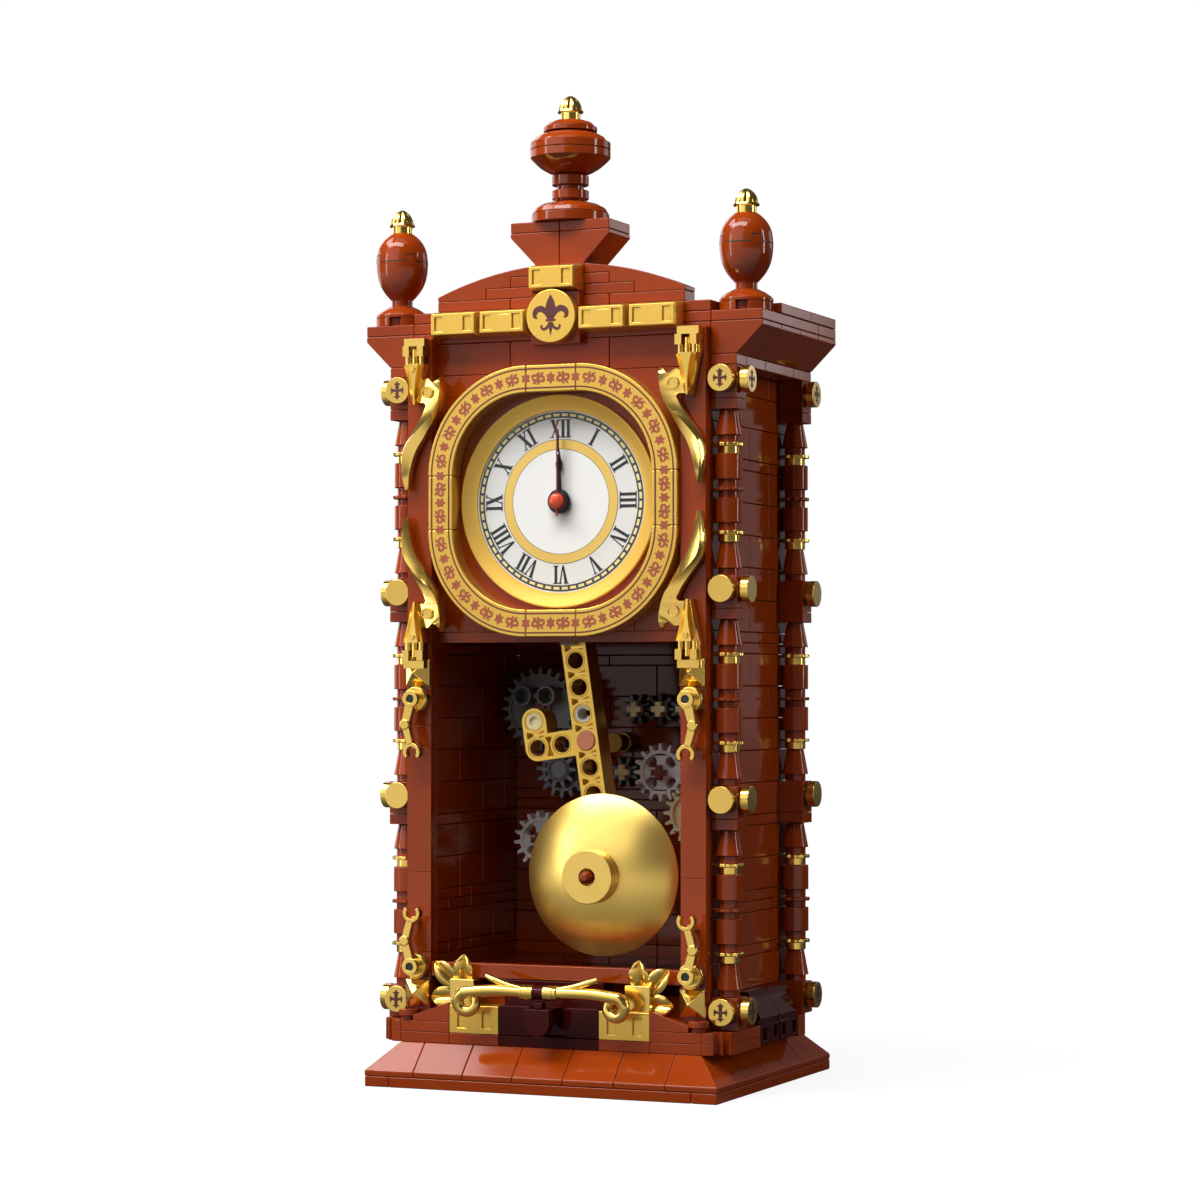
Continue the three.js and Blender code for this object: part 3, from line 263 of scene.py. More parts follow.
# Shapes: each is a list of points and a list of faces of one closed solid.
def place(axis, u, v, along):
    if axis == "X":
        return (along, u, v)
    if axis == "Y":
        return (u, along, v)
    return (u, v, along)


def studs(*counts):
    return [STUD * count for count in counts]


def plates(*counts):
    return [PLATE * count for count in counts]


def courses(marks):
    return list(zip(marks, marks[1:]))


def inset(pair):
    return (pair[0] + SEAM_GAP, pair[1] - SEAM_GAP)


def polar(centre, radius, angle):
    return (centre[0] + radius * math.cos(angle), centre[1] + radius * math.sin(angle))


def rotated(u, v, angle):
    return (u * math.cos(angle) - v * math.sin(angle), u * math.sin(angle) + v * math.cos(angle))


def box(x, y, z):
    """A brick or plate that leaves half a seam on every side."""
    points = [(px, py, pz) for pz in inset(z) for py in inset(y) for px in inset(x)]
    faces = [(0, 1, 3, 2), (4, 5, 7, 6), (0, 1, 5, 4), (2, 3, 7, 6), (0, 2, 6, 4), (1, 3, 7, 5)]
    return points, faces


def prism(outline, axis, ends):
    count = len(outline)
    points = [place(axis, u, v, along) for along in ends for u, v in outline]
    faces = [list(range(count)), list(range(count, 2 * count))]
    for i in range(count):
        after = (i + 1) % count
        faces.append((i, after, count + after, count + i))
    return points, faces


def pierced(outline, holes, axis, ends):
    """A prism with holes right through it."""
    loops = [outline, *(hole[::-1] for hole in holes)]
    flat = [point for loop in loops for point in loop]
    count = len(flat)
    caps = tessellate_polygon([[Vector((u, v, 0)) for u, v in loop] for loop in loops])
    points = [place(axis, u, v, along) for along in ends for u, v in flat]
    faces = [tuple(cap) for cap in caps] + [tuple(count + i for i in cap) for cap in caps]
    start = 0
    for loop in loops:
        for i in range(len(loop)):
            a, b = start + i, start + (i + 1) % len(loop)
            faces.append((a, b, count + b, count + a))
        start += len(loop)
    return points, faces


def turned(profile, axis, centre, steps=32):
    """A profile of (radius, along) pairs turned about an axis. It closes on the axis or on itself."""
    points, rings, faces = [], [], []
    for radius, along in profile:
        count = 1 if radius < 1e-6 else steps
        rings.append(range(len(points), len(points) + count))
        for i in range(count):
            angle = 2 * math.pi * i / steps
            points.append(place(axis, *polar(centre, radius, angle), along))
    if profile[0] == profile[-1]:
        rings[-1] = rings[0]
    for low, high in zip(rings, rings[1:]):
        for i in range(steps):
            after = i + 1
            corners = [low[i % len(low)], low[after % len(low)], high[after % len(high)], high[i % len(high)]]
            faces.append(tuple(dict.fromkeys(corners)))
    used = sorted({i for face in faces for i in face})
    number = {old: new for new, old in enumerate(used)}
    return [points[i] for i in used], [tuple(number[i] for i in face) for face in faces]


def lofted(rings):
    """A skin over rings of equally many points, with both ends closed."""
    count = len(rings[0])
    points = [point for ring in rings for point in ring]
    faces = [list(range(count)), list(range(len(points) - count, len(points)))]
    for ring in range(len(rings) - 1):
        for i in range(count):
            a, b = ring * count + i, ring * count + (i + 1) % count
            faces.append((a, b, b + count, a + count))
    return points, faces


def smooth(points, steps):
    """Points along a smooth curve through the given ones."""
    vectors = [Vector(point) for point in points]
    ends = [2 * vectors[0] - vectors[1], *vectors, 2 * vectors[-1] - vectors[-2]]
    curve = []
    for a, b, c, d in zip(ends, ends[1:], ends[2:], ends[3:]):
        for i in range(steps):
            t = i / steps
            curve.append(0.5 * (2 * b + (c - a) * t + (2 * a - 5 * b + 4 * c - d) * t ** 2
                                + (3 * b - a - 3 * c + d) * t ** 3))
    return [*curve, vectors[-1]]


def swept(path, radii, sides):
    """A round bar along a path, with one radius for each point."""
    vectors = [Vector(point) for point in path]
    across = Vector((0, 1, 0))
    rings = []
    for i, point in enumerate(vectors):
        ahead = (vectors[min(i + 1, len(vectors) - 1)] - vectors[max(i - 1, 0)]).normalized()
        across = (across - ahead * across.dot(ahead)).normalized()
        other = ahead.cross(across)
        turns = [2 * math.pi * k / sides for k in range(sides)]
        rings.append([tuple(point + radii[i] * (across * math.cos(a) + other * math.sin(a))) for a in turns])
    return lofted(rings)


def arc(centre, radius, start, end, steps):
    """Points on a circle between two angles in degrees."""
    angles = [math.radians(start + (end - start) * i / steps) for i in range(steps + 1)]
    return [polar(centre, radius, angle) for angle in angles]


def circle(centre, radius, steps=28):
    return arc(centre, radius, 0, 360, steps)[:-1]


def rectangle(u, v):
    return [(u[0], v[0]), (u[1], v[0]), (u[1], v[1]), (u[0], v[1])]


def square_ring(centre, half_w, half_h, y):
    """The corners of an upright rectangle that faces the front."""
    x, z = centre
    return [(u, y, v) for u, v in rectangle((x - half_w, x + half_w), (z - half_h, z + half_h))]


def disc(radius, low, high):
    """The profile of a plain round bar or disc."""
    return [(0, low), (radius, low), (radius, high), (0, high)]


def hoop(inner, outer, low, high):
    """The profile of a plain ring."""
    return [(inner, low), (outer, low), (outer, high), (inner, high), (inner, low)]


def raised(profile, base, sign=1):
    """A profile of (radius, along) pairs moved along its axis, and turned round where the sign is -1."""
    return [(radius, base + along * sign) for radius, along in profile]


def quarters(near):
    """The corners of a square about its middle, each with the angle in degrees where its rounding starts."""
    return ((near, near, 0), (-near, near, 90), (-near, -near, 180), (near, -near, 270))


def rounded_square(centre, half, radius, steps):
    return [point for u, v, start in quarters(half - radius)
            for point in arc((centre[0] + u, centre[1] + v), radius, start, start + 90, steps)]


def ribbon(path, widths):
    """The outline of a flat stroke along a path, with one width for each point."""
    left, right = [], []
    for i, (u, v) in enumerate(path):
        ahead = Vector(path[min(i + 1, len(path) - 1)]) - Vector(path[max(i - 1, 0)])
        across = Vector((-ahead.y, ahead.x)).normalized() * widths[i] / 2
        left.append((u + across.x, v + across.y))
        right.append((u - across.x, v - across.y))
    return left + right[::-1]


def spread_widths(widths, count):
    """Widths spread evenly over a number of points."""
    spread = []
    for i in range(count):
        at = i / (count - 1) * (len(widths) - 1)
        low = min(int(at), len(widths) - 2)
        spread.append(widths[low] + (widths[low + 1] - widths[low]) * (at - low))
    return spread


def smooth_flat(points, steps):
    return smooth([(u, v, 0) for u, v in points], steps)


def stroke(points, widths):
    """A smooth tapering stroke through a few points."""
    path = [(point.x, point.y) for point in smooth_flat(points, 4)]
    return ribbon(path, spread_widths(widths, len(path)))


def flip(outline):
    return [(-u, v) for u, v in outline]


def mirrored(outline, sign):
    return outline if sign > 0 else flip(outline)


def span(a, b, sign=1):
    """A pair of coordinates in rising order, mirrored for the left side."""
    return tuple(sorted((a * sign, b * sign)))


class Piece:
    """A mesh put together from closed solids, which rides on a body and may stand for CAD nodes."""

    def __init__(self, name, body="case", bevel=0.28, transform=None):
        self.name, self.body, self.bevel = name, body, bevel
        self.transform = transform or Matrix.Identity(4)
        self.points, self.faces, self.slots, self.tints, self.materials = [], [], [], [], []

    def add(self, shape, material=BROWN):
        points, faces = shape
        start = len(self.points)
        if material not in self.materials:
            self.materials.append(material)
        tint = shade.random()
        self.points += points
        self.faces += [tuple(start + i for i in face) for face in faces]
        self.slots += [self.materials.index(material)] * len(faces)
        self.tints += [tint] * len(faces)

    def finish(self, *nodes):
        mesh = bpy.data.meshes.new(self.name)
        mesh.from_pydata([self.transform @ Vector(point) * MM for point in self.points], [], self.faces)
        for material in self.materials:
            mesh.materials.append(material)
        mesh.polygons.foreach_set("material_index", self.slots)
        mesh.attributes.new("tint", "FLOAT", "FACE").data.foreach_set("value", self.tints)
        self.face_outwards(mesh)
        mesh.shade_smooth()
        piece = bpy.data.objects.new(self.name, mesh)
        bpy.context.scene.collection.objects.link(piece)
        if self.bevel:
            self.round_edges(piece)
        else:
            mesh.set_sharp_from_angle(angle=SHARP_ANGLE)
        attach(piece, self.body)
        if nodes:
            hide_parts(*nodes)

    def face_outwards(self, mesh):
        work = bmesh.new()
        work.from_mesh(mesh)
        bmesh.ops.recalc_face_normals(work, faces=work.faces)
        work.to_mesh(mesh)
        work.free()

    def round_edges(self, piece):
        edges = piece.modifiers.new("rounded_edges", "BEVEL")
        edges.width = self.bevel * MM
        edges.segments = 2
        edges.limit_method = "ANGLE"
        edges.angle_limit = BEVEL_ANGLE
        edges.harden_normals = True


def bricks(piece, x, y, z, along, cuts, material=BROWN):
    """A course of bricks that fills a box, cut across at the given places."""
    low, high = x if along == "X" else y
    marks = [low, *sorted(cut for cut in cuts if low < cut < high), high]
    for start, end in zip(marks, marks[1:]):
        if along == "X":
            piece.add(box((start, end), y, z), material)
        else:
            piece.add(box(x, (start, end), z), material)


def stud_cuts(low, high, lengths):
    """Random brick joints between two ends, on the stud grid."""
    cuts, at = [], low
    while True:
        at += shade.choice(lengths) * STUD
        if at > high - STUD:
            return cuts
        cuts.append(at)


# Base: flat plates, sloped tiles with hipped corners, and two plates with slotted round corners.
def base_plate():
    piece = Piece("base_plates", bevel=0.32)
    edge_w, edge_d = BASE_HALF_W - STUD, BASE_HALF_D - STUD
    for y in ((-BASE_HALF_D, edge_d), (edge_d, BASE_HALF_D)):
        bricks(piece, (-BASE_HALF_W, BASE_HALF_W), y, (0, PLATE), "X", (-edge_w, edge_w))
    piece.finish("base_plate")


def skirt():
    piece = Piece("skirt_tiles", bevel=0.3)
    foot, lip, top = PLATE, 1.5 * PLATE, SKIRT_TOP
    runs = (("X", BASE_HALF_D, studs(-5, -3, -1, 1, 3, 5)), ("Y", BASE_HALF_W, studs(-4, -3, -1, 1, 3, 4)))

    def slope(edge, sign):
        ends = (edge * sign, (edge - STUD) * sign, (edge - 2 * STUD) * sign)
        return [(ends[0], foot), (ends[0], lip), (ends[1], top), (ends[2], top), (ends[2], foot)]

    for sign in SIDES:
        for axis, edge, cuts in runs:
            for pair in courses(cuts):
                piece.add(prism(slope(edge, sign), axis, inset(pair)))
        for other in SIDES:
            piece.add(hip_corner(sign, other, foot, lip, top))
    inner = (BASE_HALF_W - 2 * STUD, BASE_HALF_D - 2 * STUD)
    piece.add(box((-inner[0], inner[0]), (-inner[1], inner[1]), (foot, top)))
    piece.finish("base_skirt")


def hip_corner(sign_x, sign_y, foot, lip, top):
    """A corner tile whose two slopes meet on a hip."""
    x = [(BASE_HALF_W - STUD * step) * sign_x for step in range(3)]
    y = [(BASE_HALF_D - STUD * step) * sign_y for step in range(3)]
    points = [
        (x[0], y[0], foot), (x[2], y[0], foot), (x[2], y[2], foot), (x[0], y[2], foot),
        (x[0], y[0], lip), (x[2], y[0], lip), (x[0], y[2], lip),
        (x[1], y[1], top), (x[2], y[1], top), (x[2], y[2], top), (x[1], y[2], top),
    ]
    faces = [
        (0, 1, 2, 3), (0, 1, 5, 4), (0, 4, 6, 3), (4, 5, 8, 7), (4, 7, 10, 6),
        (7, 8, 9, 10), (1, 2, 9, 8, 5), (3, 6, 10, 9, 2),
    ]
    return points, faces


# The outlines of a corner wedge and of a small round stud, both measured from the top of the plinth.
WEDGE = ((4 * STUD, 0), (5.5 * STUD, 0), (5.5 * STUD, PLATE / 2), (4 * STUD, 1.8 * PLATE))
ROUND_STUD = (
    (0, 0), (2.1, 0), (2.1, 1.2), (2.9, 1.4), (2.9, PLATE), (1.5, PLATE), (1.5, 2.2), (0, 2.2),
)


def plinth():
    piece = Piece("plinth_plates", bevel=0.3)
    edge, back = CASE_HALF_W, BACK_WALL_FRONT
    front_row = (PLINTH_FRONT, CASE_FRONT)
    for level, z in enumerate(courses([SKIRT_TOP, PLINTH_STEP, PLINTH_TOP])):
        for y in ((CASE_FRONT, back), (back, CASE_BACK)):
            piece.add(box((-edge, edge), y, z))
        spans = [span(4 * STUD, 6 * STUD, sign) for sign in SIDES]
        if level == 0:
            spans += [span(2 * STUD, 4 * STUD, sign) for sign in SIDES]
            piece.add(box((-2 * STUD, 2 * STUD), front_row, z), DARK_BROWN)
        for x in spans:
            piece.add(box(x, front_row, z))
        for sign in SIDES:
            side = span(edge, BASE_HALF_W, sign)
            for y in ((CASE_FRONT, SIDE_APRON[0]), (SIDE_APRON[1], back)):
                piece.add(box(side, y, z))
            slotted_corner(piece, (edge * sign, CASE_FRONT), -90 if sign > 0 else 180, z)
            corner, start = (edge * sign, back), 0 if sign > 0 else 90
            piece.add(prism([corner] + arc(corner, STUD, start, start + 90, 12), "Z", z))
    wedge = [(u, PLINTH_TOP + v) for u, v in WEDGE]
    for sign in SIDES:
        piece.add(prism(mirrored(wedge, sign), "Y", (PLINTH_FRONT, PILASTER_FRONT - 0.3)))
        centre = (5.8 * STUD * sign, PLINTH_FRONT + STUD / 4)
        piece.add(turned(raised(ROUND_STUD, PLINTH_TOP), "Z", centre, 24))
    piece.finish("plinth")


def slotted_corner(piece, centre, start, z):
    """A quarter-round corner with an open slot and a thin post in its middle."""
    for low, high, radius in ((0, 26, STUD), (64, 90, STUD), (26, 64, 0.62 * STUD), (42, 49, 0.94 * STUD)):
        sector = [centre] + arc(centre, radius, start + low, start + high, 6)
        piece.add(prism(sector, "Z", z))


def slotted_face(u, v, axis, skin, windows):
    """A skin with windows, which leaves recesses in the face of a bar."""
    return pierced(rectangle(u, v), [rectangle(*window) for window in windows], axis, skin)


def side_aprons():
    """Two dark bars on each side, with sloped tops and windows in their faces."""
    middle, gap = sum(SIDE_APRON) / 2, 0.1
    foot = PLINTH_TOP + 0.45 * PLATE
    low, high = SKIRT_TOP + 0.2 * PLATE, PLINTH_TOP
    skin, window_half, window_z = 0.7, 1.4, (low + 1.2, high - 1.2)
    outline = [(CASE_HALF_W, foot), (BASE_HALF_W, foot), (BASE_HALF_W, foot + 0.5),
               (CASE_HALF_W + STUD / 2, WALL_FOOT), (CASE_HALF_W, WALL_FOOT)]
    for side, sign in NAMED_SIDES:
        piece = Piece(f"side_apron_tiles_{side}")
        bar, face = span(CASE_HALF_W, BASE_HALF_W - skin, sign), span(BASE_HALF_W - skin, BASE_HALF_W, sign)
        for y in ((SIDE_APRON[0], middle - gap), (middle + gap, SIDE_APRON[1])):
            piece.add(prism(mirrored(outline, sign), "Y", y), DARK_BROWN)
            piece.add(box(bar, y, (low, foot)), DARK_BROWN)
            middles = [y[0] + share * (y[1] - y[0]) for share in (0.22, 0.78)]
            windows = [((at - window_half, at + window_half), window_z) for at in middles]
            piece.add(slotted_face((y[0] + 0.3, y[1] - 0.3), (low, high), "X", face, windows), DARK_BROWN)
        piece.finish(f"side_apron_{side}")


# Case: courses of bricks and plates as the photograph shows them, floor, sill and pilasters.
WALL_MARKS = plates(
    9, 12, 13, 16, 17, 18, 21, 24, 25, 28, 31, 34, 37, 40, 41, 42, 45, 48, 51, 54, 57, 58, 61, 64, 66,
)
BACK_MARKS = plates(
    9, 12, 15, 16, 19, 22, 25, 26, 27, 30, 33, 36, 39, 40, 42, 45, 48, 51, 54, 57, 60, 63, 66,
)
# The lengths in studs that plates and bricks are drawn from.
PLATE_LENGTHS = (1, 2, 2, 3)
BRICK_LENGTHS = (2, 3, 4, 4)
BACK_LENGTHS = (2, 3, 4)
# A small gold bush on the back wall, darkened with painted shade: its centre, and its profile from its front
# to the wall.
BUSH_AT = (-0.8, 101.0)
BUSH = (
    (0, 10), (3.1, 10), (3.1, 11.2), (2.4, 11.4), (2.4, 17), (3.2, 17.2), (3.2, BACK_WALL_FRONT),
    (0, BACK_WALL_FRONT),
)


def walls():
    for side, sign in NAMED_SIDES:
        piece = Piece(f"wall_bricks_{side}")
        x, y = span(CAVITY_HALF_W, CASE_HALF_W, sign), (CASE_FRONT, CASE_BACK)
        for z in courses(WALL_MARKS):
            lengths = PLATE_LENGTHS if z[1] - z[0] < BRICK - 1 else BRICK_LENGTHS
            bricks(piece, x, y, z, "Y", stud_cuts(*y, lengths))
        # The dark core behind the bricks is painted shade seen through the seams.
        core = span(CAVITY_HALF_W + CORE, CASE_HALF_W - CORE, sign)
        piece.add(box(core, (CASE_FRONT + CORE, CASE_BACK - CORE), (WALL_FOOT, CASE_TOP)), SEAM_SHADE)
        piece.finish(f"wall_{side}")


def lower_case():
    piece = Piece("lower_case_bricks")
    x, z = (-CASE_HALF_W, CASE_HALF_W), (PLINTH_TOP, WALL_FOOT)
    front, back = CASE_FRONT + STUD, CASE_BACK - STUD
    for y in ((CASE_FRONT, front), (back, CASE_BACK)):
        bricks(piece, x, y, z, "X", studs(-4, 0, 4))
    bricks(piece, x, (front, back), z, "Y", studs(-1, 1))
    piece.finish("lower_case")


def floor_and_sill():
    piece = Piece("floor_tiles_and_sill", bevel=0.32)
    sill = (PILASTER_FRONT, CASE_FRONT), (SILL_FOOT, SILL_TOP)
    bricks(piece, (-CAVITY_HALF_W, CAVITY_HALF_W), *sill, "X", studs(-4, 4))
    tiles = (CASE_FRONT, BACK_WALL_FRONT), (WALL_FOOT, FLOOR_TOP)
    # The floor tiles are the case's brown, drawn in dark brown as painted shade of the deep cavity.
    for x in courses(studs(-5, -3, -1, 1, 3, 5)):
        bricks(piece, x, *tiles, "Y", studs(-1, 2), DARK_BROWN)
    piece.finish("floor_and_sill")


def back_wall():
    piece = Piece("back_wall_bricks")
    x = (-CAVITY_HALF_W, CAVITY_HALF_W)
    for z in courses(BACK_MARKS):
        bricks(piece, x, (BACK_WALL_FRONT, CASE_BACK), z, "X", stud_cuts(*x, BACK_LENGTHS))
    # The dark core behind the bricks is painted shade seen through the seams.
    core = (BACK_WALL_FRONT + CORE, CASE_BACK - CORE)
    piece.add(box(x, core, (WALL_FOOT, CASE_TOP)), SEAM_SHADE)
    # The bush takes a gold darkened with painted shade.
    piece.add(turned(BUSH, "Y", BUSH_AT, 24), SHADED_BUSH_GOLD)
    piece.finish("back_wall")


# Pilasters: the heights of their pyramids, and the steps of one as distances out and half widths.
PYRAMIDS = (DIAL_Z - 6.31 * STUD, PLINTH_TOP + 2.5 * PLATE)
PYRAMID_STEPS = ((0, STUD / 2 - 0.1), (1, STUD / 2 - 0.1), (4.6, 0.1))
PILASTER_MARKS = (
    PLINTH_TOP, PLINTH_TOP + 4 * PLATE, *plates(12.3, 19.7, 33.3, 36.6),
    LINTEL_FOOT, *plates(48, 60), CORBEL_TOP,
)


def pilasters():
    seat = CASE_FRONT - PLATE / 2
    for side, sign in NAMED_SIDES:
        piece = Piece(f"pilaster_tiles_{side}", bevel=0.32)
        x = span(CAVITY_HALF_W, CASE_HALF_W, sign)
        for z in courses(PILASTER_MARKS):
            piece.add(box(x, (PILASTER_FRONT, seat), z))
        for z in courses([PLINTH_TOP, *plates(16, 31, 45), CORBEL_TOP]):
            piece.add(box(x, (seat, CASE_FRONT), z))
        for z in PYRAMIDS:
            centre = (sum(x) / 2, z)
            rings = [square_ring(centre, half, half, PILASTER_FRONT - out) for out, half in PYRAMID_STEPS]
            piece.add(lofted(rings), BRIGHT_GOLD)
        piece.finish(f"pilaster_{side}")


# Apron front: dark blocks, a shield tile, slotted gold bars, cubes with leaves, and the bow handle.
HANDLE_Y = PLINTH_FRONT - 0.75 * STUD
HANDLE_Z = PLINTH_TOP + 3.2 * PLATE
HANDLE_BAR = 1.5


def apron_panel():
    piece = Piece("apron_panel_blocks", bevel=0.32)
    foot, top = PLINTH_STEP, PLINTH_STEP + BRICK - PLATE / 4
    front, face, half = PLINTH_FRONT - STUD, PLINTH_FRONT + STUD / 2, STUD / 2
    shield = [(half, top), (-half, top)] + arc((0, foot + half + PLATE / 4), half, 180, 360, 18)
    clip_y = (HANDLE_Y - HANDLE_BAR, HANDLE_Y + HANDLE_BAR)
    shapes = [
        box((-2 * STUD, 2 * STUD), (face, CASE_FRONT), (foot, SILL_FOOT)),
        *(box(span(0.7 * STUD, 2 * STUD, sign), (PLINTH_FRONT, face), (foot, top)) for sign in SIDES),
        prism(shield, "Y", (front, front + PLATE)),
        box((-half + 1, half - 1), (front + PLATE, face), (foot + half, top)),
        box((-HANDLE_BAR, HANDLE_BAR), clip_y, (top, HANDLE_Z - 2.7)),
    ]
    for shape in shapes:
        piece.add(shape, DARK_BROWN)
    piece.finish("apron_panel")


# The section of a leaf round its folded middle, as shares of its half width and millimetres of lift.
LEAF_EDGE = ((-1, -0.55), (-0.8, -0.85), (-0.45, -0.75), (-0.1, -0.1))
LEAF_FOLD = (*LEAF_EDGE, (0, 0.25), *flip(LEAF_EDGE[::-1]), (0.7, 0.1), (0, 0.7), (-0.7, 0.1))
# The leaves on a cube: the place across, the drop from the cube's top, the lean in degrees and the length.
LEAVES = ((28.2, 0.6, 92, 7.8), (31.2, 1.2, 44, 8.6), (31.4, 5.4, -3, 7.4))
LEAF_WIDTH = 6.2


def leaf(root, angle, length):
    """A broad pointed leaf with a folded middle, in a plane that faces the front."""
    ahead = Vector((math.cos(angle), 0, math.sin(angle)))
    across = Vector((-math.sin(angle), 0, math.cos(angle)))
    stations, widest, bulge = 16, 0.36, 1.1
    rings = []
    for i in range(stations + 1):
        along = i / stations
        bow = max(0.0, 1 - (abs(along - widest) / (1 - widest)) ** 2.2)
        half = LEAF_WIDTH / 2 * bow ** 0.8 + 0.04
        middle = Vector(root) + ahead * length * along
        middle.y -= bulge * math.sin(0.8 * math.pi * along)
        thin = min(1, 0.25 + half / (LEAF_WIDTH / 2))
        rings.append([tuple(middle + across * half * share + Vector((0, lift * thin, 0)))
                      for share, lift in LEAF_FOLD])
    return lofted(rings)


def apron_blocks():
    foot, step, top = PLINTH_STEP, PLINTH_STEP + 2.6 * PLATE, PLINTH_STEP + 5 * PLATE
    skin, window_z = 0.6, (foot + 1.7, step - 1.7)
    for side, sign in NAMED_SIDES:
        piece = Piece(f"apron_gilt_{side}")
        x, cube = span(2 * STUD, 4 * STUD, sign), span(3 * STUD, 4 * STUD, sign)
        piece.add(box(x, (PLINTH_FRONT + skin, CASE_FRONT), (foot, step)), SATIN_GOLD)
        windows = [(span(*studs(at + 0.04, at + 0.36), sign), window_z) for at in (2.3, 3.3)]
        face = (PLINTH_FRONT, PLINTH_FRONT + skin)
        piece.add(slotted_face(x, (foot, step), "Y", face, windows), SATIN_GOLD)
        piece.add(box(cube, (PLINTH_FRONT + 0.2, CASE_FRONT), (step, top)), SCROLL_GOLD)
        piece.finish(f"apron_block_{side}")
        leaves = Piece(f"apron_leaves_{side}", bevel=0)
        for across, drop, lean, length in LEAVES:
            angle = math.radians(lean if sign > 0 else 180 - lean)
            leaves.add(leaf((across * sign, PLINTH_FRONT + 2.6, top - drop), angle, length), SCROLL_GOLD)
        leaves.finish()


# The right half of the bow handle: its curl, the collar beside the clip, and the radii along bow and branch.
CURL_CENTRE = (2.95 * STUD, HANDLE_Z - 1.1 * PLATE)
CURL_RADIUS = 2.9
CURL_TURN = 330
CLIP_HALF = 1.7
COLLAR = (
    (0, CLIP_HALF), (2.2, CLIP_HALF), (2.25, 2.0), (2.25, 4.6), (2.0, 4.7), (2.0, 5.1), (2.2, 5.2),
    (2.2, 5.7), (0, 5.7),
)
BOW_RADII = (1.65, 1.75, 1.85, 1.85, 1.8, 1.65, 1.5, 1.3)
BRANCH_RADII = (1.4, 1.15, 0.95, 0.95, 1.05, 0.7)


def handle_paths():
    """The paths of the right-hand bow, which ends in a curl, and of the branch above it."""
    bow = [(0.6 * STUD, 0, 0), (1.3 * STUD, 0, 0.2), (2.1 * STUD, 0, 0.1)]
    branch = [(0.6 * STUD, 0, 0.6), (1.1 * STUD, 0.2, 1.5), (1.65 * STUD, 0.6, 2.7), (2.2 * STUD, 1.4, 4.2)]
    bow, branch = ([(x, HANDLE_Y + y, HANDLE_Z + z) for x, y, z in path] for path in (bow, branch))
    for turn in range(0, CURL_TURN + 1, 30):
        share = turn / CURL_TURN
        x, z = polar(CURL_CENTRE, CURL_RADIUS * (1 - 0.1 * share), math.radians(90 - turn))
        bow.append((x, HANDLE_Y + 1.4 * share, z))
    return bow, branch


def bent_bar(path, radii, sides, sign):
    route = smooth([(x * sign, y, z) for x, y, z in path], 6)
    return swept(route, spread_widths(radii, len(route)), sides)


def handle():
    piece = Piece("bow_handle", bevel=0.12)
    bow, branch = handle_paths()
    axis = (HANDLE_Y, HANDLE_Z)
    for sign in SIDES:
        piece.add(bent_bar(bow, BOW_RADII, 16, sign), BRIGHT_GOLD)
        piece.add(turned(raised(COLLAR, 0, sign), "X", axis), BRIGHT_GOLD)
        piece.add(bent_bar(branch, BRANCH_RADII, 12, sign), BRIGHT_GOLD)
    piece.add(turned(disc(1.95, -CLIP_HALF, CLIP_HALF), "X", axis), DARK_BROWN)
    piece.finish("handle")


# Columns: blocks with gold discs, and between them cones, round bricks and scalloped rings.
def scalloped(centre, z):
    """A flat ring with ten shallow scallops."""
    petals, steps, radius, depth = 10, 80, 4.25, 0.055
    outline = []
    for i in range(steps):
        angle = 2 * math.pi * i / steps
        outline.append(polar(centre, radius * (1 + depth * math.cos(petals * angle)), angle))
    return prism(outline, "Z", z)


def drum(centre, profile, steps=32):
    """A turned piece given by (radius, height) pairs from its foot to its top."""
    return turned([(0, profile[0][1]), *profile, (0, profile[-1][1])], "Z", centre, steps)


NECK, WIDE, SLIM = 3.1, 3.95, 2.55
FORMS = {"neck": (NECK, NECK), "brick": (WIDE, WIDE), "cone": (WIDE, SLIM)}
# What stands between two blocks, from the foot up, each with the height of its top above the lower block.
COLUMN_STACK = (
    (BROWN, "neck", 2.0), (BROWN, "cone", 9.6), (BRIGHT_GOLD, "neck", 11.8), (BRIGHT_GOLD, "ring", 12.8),
    (BROWN, "neck", 15.2), (BROWN, "brick", 22.4), (BROWN, "neck", 24.4), (BROWN, "ring", 25.4),
    (BROWN, "neck", 27.8), (BROWN, "brick", 35.2), (BRIGHT_GOLD, "neck", 37.4), (BRIGHT_GOLD, "ring", 38.4),
    (BROWN, "neck", 40.6), (BROWN, "cone", 48.0),
)
GILT_DISC = ((0, 0), (2.9, 0), (2.9, 0.5), (3.95, 0.7), (3.95, PLATE), (0, PLATE))


def shaft(piece, centre, foot):
    """The turned pieces between two blocks of a column."""
    low = foot
    for material, form, top in COLUMN_STACK:
        z = (low, foot + top)
        shape = scalloped(centre, z) if form == "ring" else drum(centre, list(zip(FORMS[form], z)))
        piece.add(shape, material)
        low = foot + top


